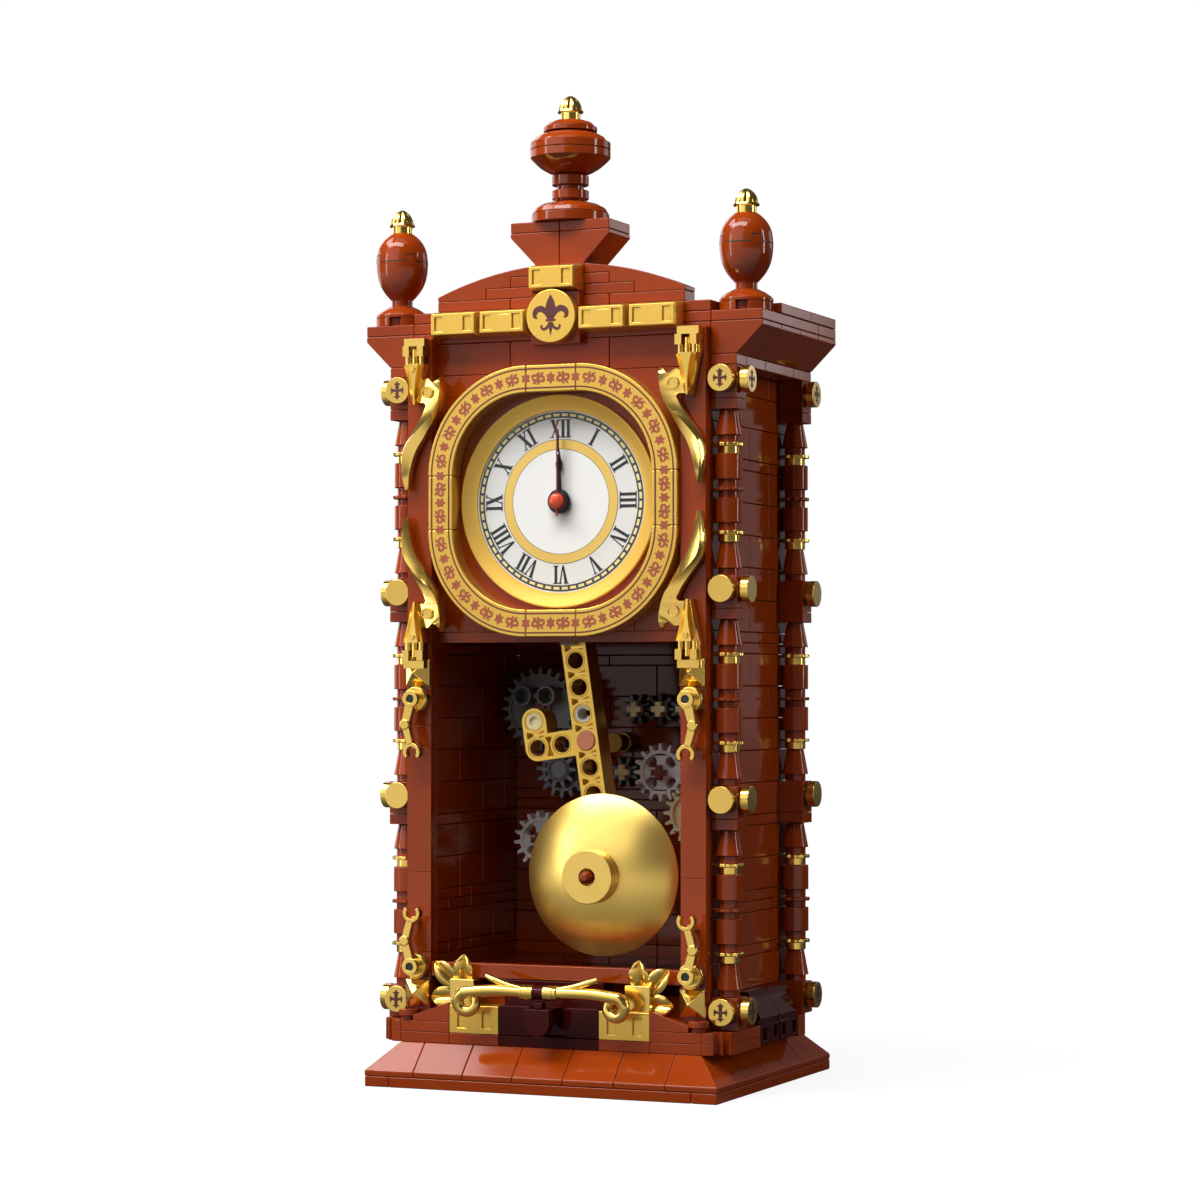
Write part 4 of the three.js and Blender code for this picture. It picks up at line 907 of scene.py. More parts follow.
def column(name, sign, front):
    piece = Piece(f"{name}_stack", bevel=0.18)
    prints = Piece(f"{name}_crests", bevel=0)
    centre = (COLUMN_X * sign, -COLUMN_Y if front else COLUMN_Y)
    x, y = ((at - STUD / 2, at + STUD / 2) for at in centre)
    # The sides that carry a gold disc: the axis, the middle, the face and the way out.
    sides = [("X", centre[1], x[1] if sign > 0 else x[0], sign)]
    if front:
        sides.append(("Y", centre[0], y[0], -1))
    core = SLIM - 0.2
    piece.add(drum(centre, [(core, PLINTH_TOP), (core, PLINTH_TOP + 3 * BLOCK_PITCH)]))
    for level in range(4):
        foot = PLINTH_TOP + BLOCK_PITCH * level
        disc_z = foot + 1.75 * PLATE
        piece.add(box(x, y, (foot, foot + BRICK)))
        if level:
            piece.add(box(x, y, (foot - PLATE, foot)))
        if level < 3:
            shaft(piece, centre, foot + BRICK)
        for axis, middle, face, out in sides:
            piece.add(turned(raised(GILT_DISC, face, out), axis, (middle, disc_z), 40), BRIGHT_GOLD)
        if level in (0, 3):
            for axis, middle, face, out in sides:
                crest(prints, axis, (middle, disc_z), face + PLATE * out, out, 2.8, cross_lily())
    piece.finish(name)
    prints.finish()


def lily():
    """The outlines of a lily crest, two units tall, around its middle."""
    petal = [(0, 1), (0.17, 0.7), (0.25, 0.42), (0.2, 0.16), (0.09, -0.1)]
    side = stroke([(0.08, -0.12), (0.2, 0.16), (0.44, 0.36), (0.7, 0.28), (0.76, 0.04), (0.62, -0.06)],
                  (0.1, 0.2, 0.28, 0.26, 0.18, 0.04))
    foot = [(0, -0.2), (0.1, -0.42), (0, -0.86), (-0.1, -0.42)]
    curl = stroke([(0.05, -0.22), (0.16, -0.46), (0.34, -0.54), (0.45, -0.42), (0.38, -0.34)],
                  (0.08, 0.13, 0.12, 0.1, 0.03))
    band = rectangle((-0.24, 0.24), (-0.2, -0.1))
    middle = petal + flip(petal[:0:-1])
    return [middle, side, flip(side), foot, curl, flip(curl), band]


def cross_lily():
    """The outlines of an upright cross with lobed lily ends, for the small discs."""
    stem = [(0, 1), (0.12, 0.88), (0.13, 0.78), (0.38, 0.74), (0.36, 0.62), (0.2, 0.58), (0.22, 0.34),
            (0.14, -0.02), (0.2, -0.4), (0.16, -0.6), (0.37, -0.62), (0.38, -0.74), (0.13, -0.8),
            (0.11, -0.9), (0, -1)]
    arm = [(0.1, -0.1), (0.24, 0.12), (0.42, 0.18), (0.52, 0.12), (0.62, 0.36), (0.72, 0.32), (0.7, 0.14),
           (0.84, 0.04), (0.7, -0.08), (0.74, -0.34), (0.62, -0.34), (0.5, -0.14), (0.34, -0.12),
           (0.22, -0.18), (0.1, -0.32)]
    return [stem + flip(stem[-2:0:-1]), arm, flip(arm)]


def crest(piece, axis, centre, face, sign, size, outlines):
    for layer, outline in enumerate(outlines):
        shape = [(centre[0] + u * size, centre[1] + v * size) for u, v in outline]
        skin = tuple(sorted((face, face + ink_depth(layer) * sign)))
        piece.add(prism(shape, axis, skin), CREST_INK)


def ink_depth(layer):
    """The height of a print, a little more for each layer, so that strokes that cross don't share a face."""
    return INK * (1 + 0.12 * layer)


# Head of the case: cornice, roof tiles, pediment, pedestal, frieze bars and medallion.
def cornice():
    piece = Piece("cornice_bricks", bevel=0.3)
    core, depth = (-CASE_HALF_W, CASE_HALF_W), (CASE_FRONT, CASE_BACK)
    front, back = CASE_FRONT + STUD, CASE_BACK - STUD
    levels = courses([CASE_TOP, SLAB_FOOT - PLATE, SLAB_FOOT, CORNICE_TOP])
    for z, cuts in zip(levels, (studs(-2, 2), studs(0), studs(-3, 3))):
        for y in ((CASE_FRONT, front), (back, CASE_BACK)):
            bricks(piece, core, y, z, "X", cuts)
        piece.add(box(core, (front, back), z))
    corbel = [(CASE_HALF_W, CORBEL_FOOT), (BASE_HALF_W, CORBEL_FOOT), (CORNICE_HALF_W, CORBEL_TOP),
              (CORNICE_HALF_W, SLAB_FOOT), (CASE_HALF_W, SLAB_FOOT)]
    for sign in SIDES:
        strip, slab = (span(CASE_HALF_W, edge, sign) for edge in (BASE_HALF_W, CORNICE_HALF_W))
        bricks(piece, strip, depth, (CASE_TOP, CORBEL_FOOT), "Y", studs(-3, -1, 2))
        for y in courses(studs(-4, -2, 0, 2, 4)):
            piece.add(prism(mirrored(corbel, sign), "Y", inset(y)))
        bricks(piece, slab, depth, (SLAB_FOOT, CORNICE_TOP), "Y", studs(2))
    piece.finish("cornice")


def roof_tiles():
    piece = Piece("roof_tiles_flat", bevel=0.3)
    z = (CORNICE_TOP, ROOF_TOP)
    for y in courses(studs(-4, -3, -1, 1, 3, 4)):
        bricks(piece, (-CASE_HALF_W, CASE_HALF_W), y, z, "X", studs(-4, -2, 2, 4))
    for sign in SIDES:
        x = span(CASE_HALF_W, CORNICE_HALF_W, sign)
        bricks(piece, x, (-2 * STUD, CASE_BACK), z, "Y", studs(1.2))
    piece.finish("roof_tiles")


def pediment():
    piece = Piece("pediment_bricks")
    y = (CASE_FRONT, CASE_FRONT + STUD)
    half_span, rise = 5 * STUD, PEDESTAL_FOOT - ARCH_END
    radius = (half_span ** 2 + rise ** 2) / (2 * rise)
    steps = [ROOF_TOP + PLATE * k for k in range(4)]

    def crown(x):
        return PEDESTAL_FOOT - radius + math.sqrt(radius ** 2 - x ** 2)

    rows = ((half_span, studs(-2, 2)), (3 * STUD, studs(-1, 1)), (2 * STUD, studs(0)))
    for (half, cuts), z in zip(rows, courses(steps)):
        bricks(piece, (-half, half), y, z, "X", cuts)
    piece.add(box((-STUD, STUD), y, (steps[3], PEDESTAL_FOOT - PLATE / 4)))
    curve = [half_span - 2 * i for i in range(17)]
    outline = [(STUD, steps[3]), (2 * STUD, steps[3]), (2 * STUD, steps[2]), (3 * STUD, steps[2]),
               (3 * STUD, steps[1]), (half_span, steps[1])] + [(x, crown(x)) for x in curve]
    for shape in (outline, flip(outline)):
        piece.add(prism(shape, "Y", y))
    piece.finish("pediment")


def pedestal():
    piece = Piece("finial_pedestal_slopes", bevel=0.3)
    y = (CASE_FRONT, -2 * STUD)
    seat = PEDESTAL_FOOT - PLATE / 4
    half = [(0, seat), (STUD, seat), (STUD, PEDESTAL_FOOT), (2 * STUD, PEDESTAL_FLARE),
            (2 * STUD, PEDESTAL_TOP - PLATE), (0, PEDESTAL_TOP - PLATE)]
    half = [(u + SEAM_GAP if u == 0 else u, v) for u, v in half]
    for shape in (half, flip(half)):
        piece.add(prism(shape, "Y", y))
    bricks(piece, (-2 * STUD, 2 * STUD), y, (PEDESTAL_TOP - PLATE, PEDESTAL_TOP), "X", (0,))
    piece.add(box((-STUD, STUD), (CASE_FRONT + STUD, -2 * STUD), (ROOF_TOP, seat)))
    piece.finish("finial_pedestal")


INGOT_Z = CORNICE_TOP - 0.35 * PLATE
TOP_INGOT_Z = PEDESTAL_FOOT - 1.45 * PLATE
MEDALLION_Z = CORNICE_TOP - 0.05 * PLATE


def ingot(piece, x, z):
    """A gold bar with chamfered sides and two sunk windows in its face."""
    half_w, half_h = STUD - 0.06, STUD / 2 - 0.06
    skin, chamfer = 0.6, 0.75
    steps = ((CASE_FRONT, 0), (CASE_FRONT - 0.9 * PLATE, 0), (GILT_FACE + skin, chamfer))
    rings = [square_ring((x, z), half_w - less, half_h - less, y) for y, less in steps]
    piece.add(lofted(rings), SATIN_GOLD)
    windows = [((x + at - 1.15, x + at + 1.15), (z - 2.1, z + 2.1)) for at in (-4.7, 4.7)]
    face = ((x - half_w + chamfer, x + half_w - chamfer), (z - half_h + chamfer, z + half_h - chamfer))
    piece.add(slotted_face(*face, "Y", (GILT_FACE, GILT_FACE + skin), windows), SATIN_GOLD)


def frieze():
    piece = Piece("frieze_ingots", bevel=0.3)
    for x in studs(-4, -2, 2, 4):
        ingot(piece, x, INGOT_Z)
    ingot(piece, 0, TOP_INGOT_Z)
    plate_y = (CASE_FRONT - PLATE, CASE_FRONT)
    piece.add(box((-STUD, STUD), plate_y, (MEDALLION_Z - STUD, TOP_INGOT_Z - STUD / 2)))
    piece.finish("frieze_bars")
    medallion = Piece("medallion_disc", bevel=0.3)
    profile = disc(STUD - 0.1, CASE_FRONT - PLATE, GILT_FACE)
    medallion.add(turned(profile, "Y", (0, MEDALLION_Z), 64), SATIN_GOLD)
    medallion.finish("medallion")
    prints = Piece("medallion_crest", bevel=0)
    crest(prints, "Y", (0, MEDALLION_Z - 0.3), GILT_FACE, -1, 6.7, lily())
    prints.finish()


# Finials: turned globes and urns with ribbed gold buds.
BUD_COLLAR = ((0, 0), (2.95, 0), (2.95, 2.0), (3.75, 2.05), (3.95, 2.3), (3.75, 2.7), (0, 2.7))
BUD = smooth_flat((
    (3.65, 2.5), (3.55, 3.3), (3.2, 4.5), (2.55, 5.6), (1.6, 6.5), (0.65, 7.05), (0.05, 7.15),
), 3)
GLOBE = (
    ((11.6, 0), (11.6, 2.7)),
    ((11.4, 2.85), (10.6, 4.3), (8.4, 5.5), (5.2, 6.3), (3.6, 6.6)),
    ((4.6, 6.6), (4.6, 7.0), (5.5, 7.1), (5.5, 9.7), (4.6, 9.9)),
    ((4.0, 9.9), (4.0, 11.2)),
    ((4.6, 11.2), (5.5, 11.3), (5.5, 14.1), (4.6, 14.3)),
    ((4.6, 14.4), (6.6, 15.2), (8.8, 16.5), (10.9, 18.3), (12, 19.4), (12, 21.7)),
    ((12, 21.85), (12, 24.1)),
    ((11.2, 24.2), (10.2, 25.6), (8.4, 26.6), (6.6, 27.2)),
    ((8, 27.3), (8, 28.7)),
    ((7.6, 28.8), (6.4, 30.0), (4.4, 30.7), (3, 31)),
)
GLOBE_HEIGHT = 31


def bud(name, node, x, foot):
    """A bud with arched petals on a short collar."""
    piece = Piece(name, bevel=0)
    centre = (x, FINIAL_Y)
    piece.add(turned(raised(BUD_COLLAR, foot), "Z", centre, 40), BRIGHT_GOLD)
    petals, around, groove = 8, 96, 0.17
    rings = []
    for i, point in enumerate(BUD):
        hollow = groove * math.sin(math.pi * i / (len(BUD) - 1)) ** 0.7
        ring = []
        for k in range(around):
            angle = 2 * math.pi * k / around
            reach = point.x * (1 - hollow * math.sin(petals / 2 * angle) ** 4)
            ring.append((*polar(centre, reach, angle), foot + point.y))
        rings.append(ring)
    piece.add(lofted(rings), BRIGHT_GOLD)
    piece.finish(node)


def globe():
    piece = Piece("finial_globe_turned", bevel=0.18)
    for stack in GLOBE:
        piece.add(drum((0, FINIAL_Y), raised(stack, PEDESTAL_TOP)))
    piece.finish("finial_globe")
    bud("finial_bud_ribbed", "finial_bud", 0, PEDESTAL_TOP + GLOBE_HEIGHT)


# Urns: the body as shares of its height and radii, and the dish under it.
EGG_FOOT = CORNICE_TOP + 2.56 * PLATE
EGG_HEIGHT = 6.44 * PLATE
EGG = smooth_flat((
    (0, 3.1), (0.06, 4.3), (0.14, 5.6), (0.24, 6.75), (0.36, 7.5), (0.52, 7.85), (0.66, 7.7), (0.78, 7.1),
    (0.88, 5.9), (0.95, 4.5), (1, 3.1),
), 3)
DISH = tuple(zip((7.9, 7.9, 7.2, 5.6, 3.6), plates(0.82, 1.1, 1.35, 1.7, 2.0)))
# The joint line round the urn: its levels as shares of the height, its tabs in degrees, half its width, and
# how far it stands out and reaches in.
SEAM_LOW, SEAM_HIGH = 0.56, 0.66
TAB_START, TAB_SPAN = 33, 25
SEAM_HALF = 0.26
SEAM_LIFT, SEAM_DEPTH = 0.04, 0.3


def egg_radius(along):
    """The radius of the urn's body at a share of its height."""
    for low, high in zip(EGG, EGG[1:]):
        if along <= high.x:
            return low.y + (high.y - low.y) * (along - low.x) / (high.x - low.x)
    return EGG[-1].y


def urn(side, sign):
    piece = Piece(f"urn_{side}_turned", bevel=0.18)
    centre = (7 * STUD * sign, FINIAL_Y)
    notched = []
    for start in range(25, 385, 90):
        notched += arc(centre, STUD - 0.1, start, start + 62, 10)
        notched += arc(centre, STUD - 1.6, start + 64, start + 88, 4)
    piece.add(prism(notched, "Z", (CORNICE_TOP, CORNICE_TOP + 0.8 * PLATE)))
    piece.add(drum(centre, raised(DISH, CORNICE_TOP)))
    piece.add(drum(centre, [(3.2, CORNICE_TOP + 1.9 * PLATE), (3.2, EGG_FOOT + 1)]))
    piece.add(drum(centre, [(point.y, EGG_FOOT + EGG_HEIGHT * point.x) for point in EGG], 64))
    egg_seam(piece, centre)
    piece.finish(f"urn_{side}")
    bud(f"urn_bud_{side}_ribbed", f"urn_bud_{side}", centre[0], EGG_FOOT + EGG_HEIGHT)


def egg_seam(piece, centre):
    """A thin joint line round the urn that steps up over four tabs, dark with painted shade."""
    for start in range(TAB_START, TAB_START + 360, 90):
        end = start + TAB_SPAN
        for first, last, share, steps in ((start, end, SEAM_HIGH, 8), (end, start + 90, SEAM_LOW, 16)):
            stops = [(first + (last - first) * i / steps, share) for i in range(steps + 1)]
            seam_line(piece, centre, stops, upright=False)
        for degrees in (start, end):
            levels = (SEAM_LOW, (SEAM_LOW + SEAM_HIGH) / 2, SEAM_HIGH)
            seam_line(piece, centre, [(degrees, share) for share in levels], upright=True)


def seam_line(piece, centre, stops, upright):
    """One run of the joint line on the urn, through stops of an angle and a share of the height."""
    turn_half = math.degrees(SEAM_HALF / EGG[len(EGG) // 2].y)
    rise_half = SEAM_HALF / EGG_HEIGHT
    rings = []
    for degrees, share in stops:
        section = []
        for side, lift in ((-1, -SEAM_DEPTH), (-1, SEAM_LIFT), (1, SEAM_LIFT), (1, -SEAM_DEPTH)):
            angle = math.radians(degrees + side * turn_half * upright)
            level = share + side * rise_half * (not upright)
            reach = egg_radius(level) + lift
            section.append((*polar(centre, reach, angle), EGG_FOOT + EGG_HEIGHT * level))
        rings.append(section)
    # The joint line is drawn dark as painted shade.
    piece.add(lofted(rings), SEAM_SHADE)


# Dial: board, bezel with its printed vine, dish, face, tracks, numerals and hands.
DIAL_CENTRE = (0, DIAL_Z)
BEZEL_HALF = 5 * STUD
BEZEL_BAND = STUD
BEZEL_CORNER = 4 * STUD
BEZEL_NEAR = BEZEL_HALF - BEZEL_CORNER
# The middle of the band: the radius of its bends, and the lengths of its straight stretches and its bends.
BEND_RADIUS = BEZEL_CORNER - BEZEL_BAND / 2
STRAIGHT = 2 * BEZEL_NEAR
BEND = math.pi * BEND_RADIUS / 2


def dial_board():
    piece = Piece("dial_board_bricks")
    x, y = (-CAVITY_HALF_W, CAVITY_HALF_W), (CASE_FRONT, CASE_FRONT + 1.5 * PLATE)
    step, low, high = LINTEL_FOOT + PLATE, LINTEL_FOOT + BRICK, CASE_TOP - 2 * PLATE
    rows = (((LINTEL_FOOT, step), ()), ((step, low), studs(-3, 0, 3)), ((high, CASE_TOP), studs(-2, 2)))
    for z, cuts in rows:
        bricks(piece, x, y, z, "X", cuts)
    opening = circle(DIAL_CENTRE, DIAL_RADIUS + 0.3, 56)
    piece.add(pierced(rectangle(x, (low, high)), [opening], "Y", y))
    piece.finish("dial_board")


def bezel():
    piece = Piece("bezel_segments", bevel=0.3)
    depth = (GILT_FACE, CASE_FRONT)
    gap = 0.2
    for u, v, start in quarters(BEZEL_NEAR):
        centre = (u, DIAL_Z + v)
        ends = (start + gap, start + 90 - gap)
        outer = arc(centre, BEZEL_CORNER, *ends, 28)
        inner = arc(centre, BEZEL_CORNER - BEZEL_BAND, *reversed(ends), 28)
        piece.add(prism(outer + inner, "Y", depth), SATIN_GOLD)
    for sign in SIDES:
        band = span(BEZEL_HALF - BEZEL_BAND, BEZEL_HALF, sign)
        piece.add(box((-BEZEL_NEAR, BEZEL_NEAR), depth, (DIAL_Z + band[0], DIAL_Z + band[1])), SATIN_GOLD)
        piece.add(box(band, depth, (DIAL_Z - BEZEL_NEAR, DIAL_Z + BEZEL_NEAR)), SATIN_GOLD)
    piece.finish("bezel")
    bezel_prints()


def along_bezel(s, t):
    """The point at a length s round the middle of the band and t outwards from it."""
    side, rest = divmod(s % (4 * (STRAIGHT + BEND)), STRAIGHT + BEND)
    if rest <= STRAIGHT:
        u, v = rest - BEZEL_NEAR, BEZEL_NEAR + BEND_RADIUS + t
    else:
        angle = math.pi / 2 - (rest - STRAIGHT) / BEND_RADIUS
        u, v = polar((BEZEL_NEAR, BEZEL_NEAR), BEND_RADIUS + t, angle)
    u, v = rotated(u, v, -side * math.pi / 2)
    return (u, DIAL_Z + v)


def blossom():
    """A flower of the printed vine, with six lobes."""
    outline = []
    for k in range(36):
        turn = math.tau * k / 36
        swell = math.cos(6 * turn)
        outline.append(((1.2 + 0.3 * swell) * math.sin(turn), (1.42 + 0.36 * swell) * math.cos(turn)))
    return [outline]


def vine_scroll(turned_over):
    """An S-shaped stem of the printed vine that curls up at both ends, with leaves on both sides."""
    half = [(0, 0), (0.7, -0.62), (1.5, -0.45), (1.9, 0.45), (1.35, 1.05), (0.85, 0.5)]
    whole = [(-u, -v) for u, v in reversed(half[1:])] + half
    stem = stroke(whole, (0.85, 0.5, 0.6, 0.7, 0.8, 0.85, 0.8, 0.7, 0.6, 0.5, 0.85))
    leaf_up = stroke([(0.1, 0.1), (0.2, 1.0), (-0.3, 1.85)], (0.4, 0.95, 0.3))
    leaf_out = stroke([(0.7, -0.6), (1.05, -1.25), (1.75, -1.6)], (0.35, 0.7, 0.25))
    shapes = [stem]
    for blade in (leaf_up, leaf_out):
        shapes += [blade, [(-u, -v) for u, v in blade]]
    return [flip(shape) for shape in shapes] if turned_over else shapes


def bezel_prints():
    prints = Piece("bezel_vine", bevel=0)
    start = 0.0
    for stretch, count in ((STRAIGHT, 4), (BEND, 10)) * 4:
        for k in range(count):
            middle = start + stretch * k / count
            for layer, outline in enumerate(vine_scroll(k % 4 == 1) if k % 2 else blossom()):
                shape = [along_bezel(middle + u, v) for u, v in outline]
                prints.add(prism(shape, "Y", (GILT_FACE - ink_depth(layer), GILT_FACE)), ORNAMENT_INK)
        start += stretch
    prints.finish()
    borders = Piece("bezel_borders", bevel=0)
    width = 0.45
    for edge in (0.95, BEZEL_BAND - 1.4):
        outer, inner = (rounded_square(DIAL_CENTRE, BEZEL_HALF - at, BEZEL_CORNER - at, 28)
                        for at in (edge, edge + width))
        borders.add(pierced(outer, [inner], "Y", (GILT_FACE - INK, GILT_FACE)), BORDER_INK)
    borders.finish()


# The printed rings of the dial, as inner and outer radii, and the minute marks in the track.
DIAL_BORE = 2.4
DIAL_RINGS = (
    (DIAL_BORE, 15.45, WHITE_INK), (24.75, 26.6, TRACK_INK), (15.6, 18.3, GOLD_INK),
    (15.45, 15.6, DIAL_INK), (18.3, 18.45, DIAL_INK),
)
MARK_INNER, MARK_OUTER = 25.25, 26.05
NUMERALS = ("XII", "I", "II", "III", "IV", "V", "VI", "VII", "VIII", "IX", "X", "XI")
DISH_RIM = CASE_FRONT - 1.2
DISH_PROFILE = (
    (27.0, DIAL_FACE), (DIAL_RADIUS, DIAL_FACE), (DIAL_RADIUS, CASE_FRONT), (31.5, CASE_FRONT),
    (31.5, DISH_RIM), (31.1, DISH_RIM - 0.15), (30.2, DISH_RIM + 0.4), (28.6, DISH_RIM + 1.2),
    (27.4, DIAL_FACE - 0.5), (27.0, DIAL_FACE - 0.45), (27.0, DIAL_FACE),
)


def dial():
    dish = Piece("dial_dish_ring", bevel=0.15)
    dish.add(turned(DISH_PROFILE, "Y", DIAL_CENTRE, 96), DISH_GOLD)
    dish.finish("dial_dish")
    plate = Piece("dial_plate_enamel", bevel=0.1)
    plate.add(turned(hoop(DIAL_BORE, DIAL_RADIUS, DIAL_FACE, DIAL_FACE + 1.6), "Y", DIAL_CENTRE, 96), ENAMEL)
    plate.finish("dial_plate")
    prints = Piece("dial_prints", bevel=0)
    for inner, outer, material in DIAL_RINGS:
        prints.add(turned(hoop(inner, outer, DIAL_FACE - INK, DIAL_FACE), "Y", DIAL_CENTRE, 96), material)
    for minute in range(60):
        angle = 6 * minute + 3
        outer = arc(DIAL_CENTRE, MARK_OUTER, angle - 2.2, angle + 2.2, 3)
        inner = arc(DIAL_CENTRE, MARK_INNER, angle + 2.1, angle - 2.1, 3)
        prints.add(prism(outer + inner, "Y", (DIAL_FACE - 2 * INK, DIAL_FACE - INK)), CREAM_INK)
    for hour, text in enumerate(NUMERALS):
        numeral(prints, text, math.radians(-30 * hour))
    prints.finish()


# Letters one unit tall: how far each moves the next one on, and its strokes.
FOOT_SERIF, HEAD_SERIF = (0, 0.06), (0.94, 1)
HEADS = (rectangle((-0.38, -0.05), HEAD_SERIF), rectangle((0.11, 0.36), HEAD_SERIF))
GLYPHS = {
    "I": (0.38, [rectangle((-0.1, 0.1), (0, 1)), rectangle((-0.19, 0.19), FOOT_SERIF),
                 rectangle((-0.19, 0.19), HEAD_SERIF)]),
    "V": (0.68, [[(-0.33, 1), (-0.1, 1), (0.09, 0), (-0.04, 0)],
                 [(0.2, 1), (0.28, 1), (0.08, 0), (0, 0)], *HEADS]),
    "X": (0.7, [[(-0.33, 1), (-0.1, 1), (0.33, 0), (0.1, 0)],
                [(0.2, 1), (0.28, 1), (-0.2, 0), (-0.28, 0)], *HEADS,
                rectangle((-0.36, -0.11), FOOT_SERIF), rectangle((0.05, 0.38), FOOT_SERIF)]),
}


def numeral(piece, text, turn):
    """A Roman numeral that stands with its feet towards the middle of the dial."""
    height, foot, squeeze = 5.4, 18.9, 0.84
    total = sum(GLYPHS[letter][0] for letter in text)
    at = -total / 2
    for letter in text:
        advance, strokes = GLYPHS[letter]
        for layer, outline in enumerate(strokes):
            shape = []
            for u, v in outline:
                across, rise = rotated((at + advance / 2 + u) * height * squeeze, foot + v * height, turn)
                shape.append((across, DIAL_Z + rise))
            piece.add(prism(shape, "Y", (DIAL_FACE - ink_depth(layer), DIAL_FACE)), DIAL_INK)
        at += advance


# Hands: the right half of each outline from its tip down, the pitch of the layers and the thickness.
HOUR_HAND = (
    (0, 15.6), (0.35, 14.2), (0.5, 12.6), (1.15, 11.2), (0.9, 9.6), (0.5, 8.6), (0.75, 3), (0.75, 0), (0, -1),
)
MINUTE_HAND = ((0, 21.5), (0.22, 20.5), (0.3, 16), (0.62, 14.2), (0.3, 12.4), (0.45, 3), (0.45, 0), (0, -1))
SECOND_HAND = ((0, 24.0), (0.08, 23.6), (0.1, 3), (0.16, 0), (0.24, -4.4), (0, -4.6))
SECOND_CAP = ((0, -1.7), (1.2, -1.6), (1.85, -1.2), (2.05, -0.6), (2.05, 0), (0, 0))
HAND_PITCH = 0.9
HAND_THICK = 0.5
BOSS_LIP = 0.15


def hand_front(layer):
    return DIAL_FACE - (layer + 1) * HAND_PITCH - HAND_THICK


def hand_piece(name, node, layer, outline, boss, material):
    """A flat hand that points up, with a round boss on its arbor."""
    piece = Piece(name, body=node, bevel=0.08)
    front = hand_front(layer)
    back = front + HAND_THICK
    right = [(u, DIAL_Z + v) for u, v in outline]
    piece.add(prism(right + flip(right[-2:0:-1]), "Y", (front, back)), material)
    piece.add(turned(disc(boss, front - BOSS_LIP, back), "Y", DIAL_CENTRE, 40), material)
    return piece


def hands():
    hand_piece("hour_hand_spade", "hour_hand", 0, HOUR_HAND, 3.6, BLACK).finish("hour_hand")
    minute = hand_piece("minute_hand_pointer", "minute_hand", 1, MINUTE_HAND, 3.1, BLACK)
    dot = disc(0.4, hand_front(1) - BOSS_LIP, hand_front(1) + 0.1)
    minute.add(turned(dot, "Y", (0, DIAL_Z + 14.2), 20), WHITE)
    minute.finish("minute_hand")
    second = hand_piece("second_hand_needle", "second_hand", 2, SECOND_HAND, 2.4, RED)
    second.add(turned(raised(SECOND_CAP, hand_front(2)), "Y", DIAL_CENTRE, 40), ORANGE)
    second.finish("second_hand")


# Ornaments in all four corners are built for the upper right one and mirrored.
CORNERS = [(f"{level}_{side}", sign_x, sign_z)
           for level, sign_z in (("upper", 1), ("lower", -1)) for side, sign_x in NAMED_SIDES]


def reflect(shape, sign_x, sign_z, middle):
    """A shape mirrored across the clock, and up and down about a height."""
    points, faces = shape
    return [(x * sign_x, y, middle + (z - middle) * sign_z) for x, y, z in points], faces


def before_pilaster(far, near=0):
    """The depths of something that stands in front of the pilasters."""
    return (PILASTER_FRONT - far, PILASTER_FRONT - near)


# Gilt scrolls beside the dial: twisted horns with sockets, rods and plates. A row of the horn has a point on
# its inner and its outer edge, in studs from the dial's middle, and the share of its width where the ridge
# lies.
HORN = (
    (4.43, 4.79, 4.46, 4.78, 0.5), (4.36, 4.56, 4.56, 4.58, 0.15), (4.34, 4.34, 4.74, 4.49, 0.1),
    (4.35, 4.12, 4.98, 4.64, 0.08), (4.37, 3.97, 5.32, 4.45, 0.07), (4.4, 3.83, 5.36, 3.8, 0.07),
    (4.45, 3.68, 5.14, 3.75, 0.1), (4.51, 3.5, 5.03, 3.64, 0.13), (4.58, 3.33, 5.07, 3.52, 0.18),
    (4.73, 3.07, 5.24, 3.19, 0.32), (4.94, 2.79, 5.49, 2.83, 0.52), (5.17, 2.41, 5.83, 2.38, 0.68),
    (5.38, 2.1, 6.0, 2.08, 0.75), (5.54, 1.75, 6.07, 1.73, 0.78), (5.66, 1.34, 6.08, 1.38, 0.75),
    (5.74, 0.89, 6.02, 0.94, 0.7), (5.78, 0.52, 5.92, 0.49, 0.6),
)


def horn():
    """A barbed S-shaped horn, with a ridge that crosses from its inner to its outer edge."""
    crest_y, back = before_pilaster(4.6, 1.3)
    inner = smooth([(u, v, ridge) for u, v, _, _, ridge in HORN], 4)
    outer = smooth([(u, v, ridge) for _, _, u, v, ridge in HORN], 4)
    rings = []
    for a, b in zip(inner, outer):
        width, ridge = (b.xy - a.xy).length * STUD, min(max(a.z, 0.03), 0.97)
        top = crest_y + max(0, 1.2 - 0.5 * width)
        deepest = back - top - 0.3
        fall_in = min(0.2 * width * ridge + 2.1 * (1 - ridge), deepest)
        fall_out = min(0.2 * width * (1 - ridge) + 2.1 * ridge, deepest)
        section = [(0, back), (0, top + fall_in), (0.5 * ridge, top + 0.35 * fall_in), (ridge, top),
                   (0.5 + 0.5 * ridge, top + 0.62 * fall_out), (1, top + fall_out), (1, back)]
        ring = []
        for share, y in section:
            u, v = (start + (end - start) * share for start, end in zip(a.xy, b.xy))
            ring.append((u * STUD, y, DIAL_Z + v * STUD))
        rings.append(ring)
    return lofted(rings)


SOCKET_X = 5.47 * STUD
SOCKET_TIP = DIAL_Z + 3.68 * STUD
SOCKET_ROOT = DIAL_Z + 5.19 * STUD


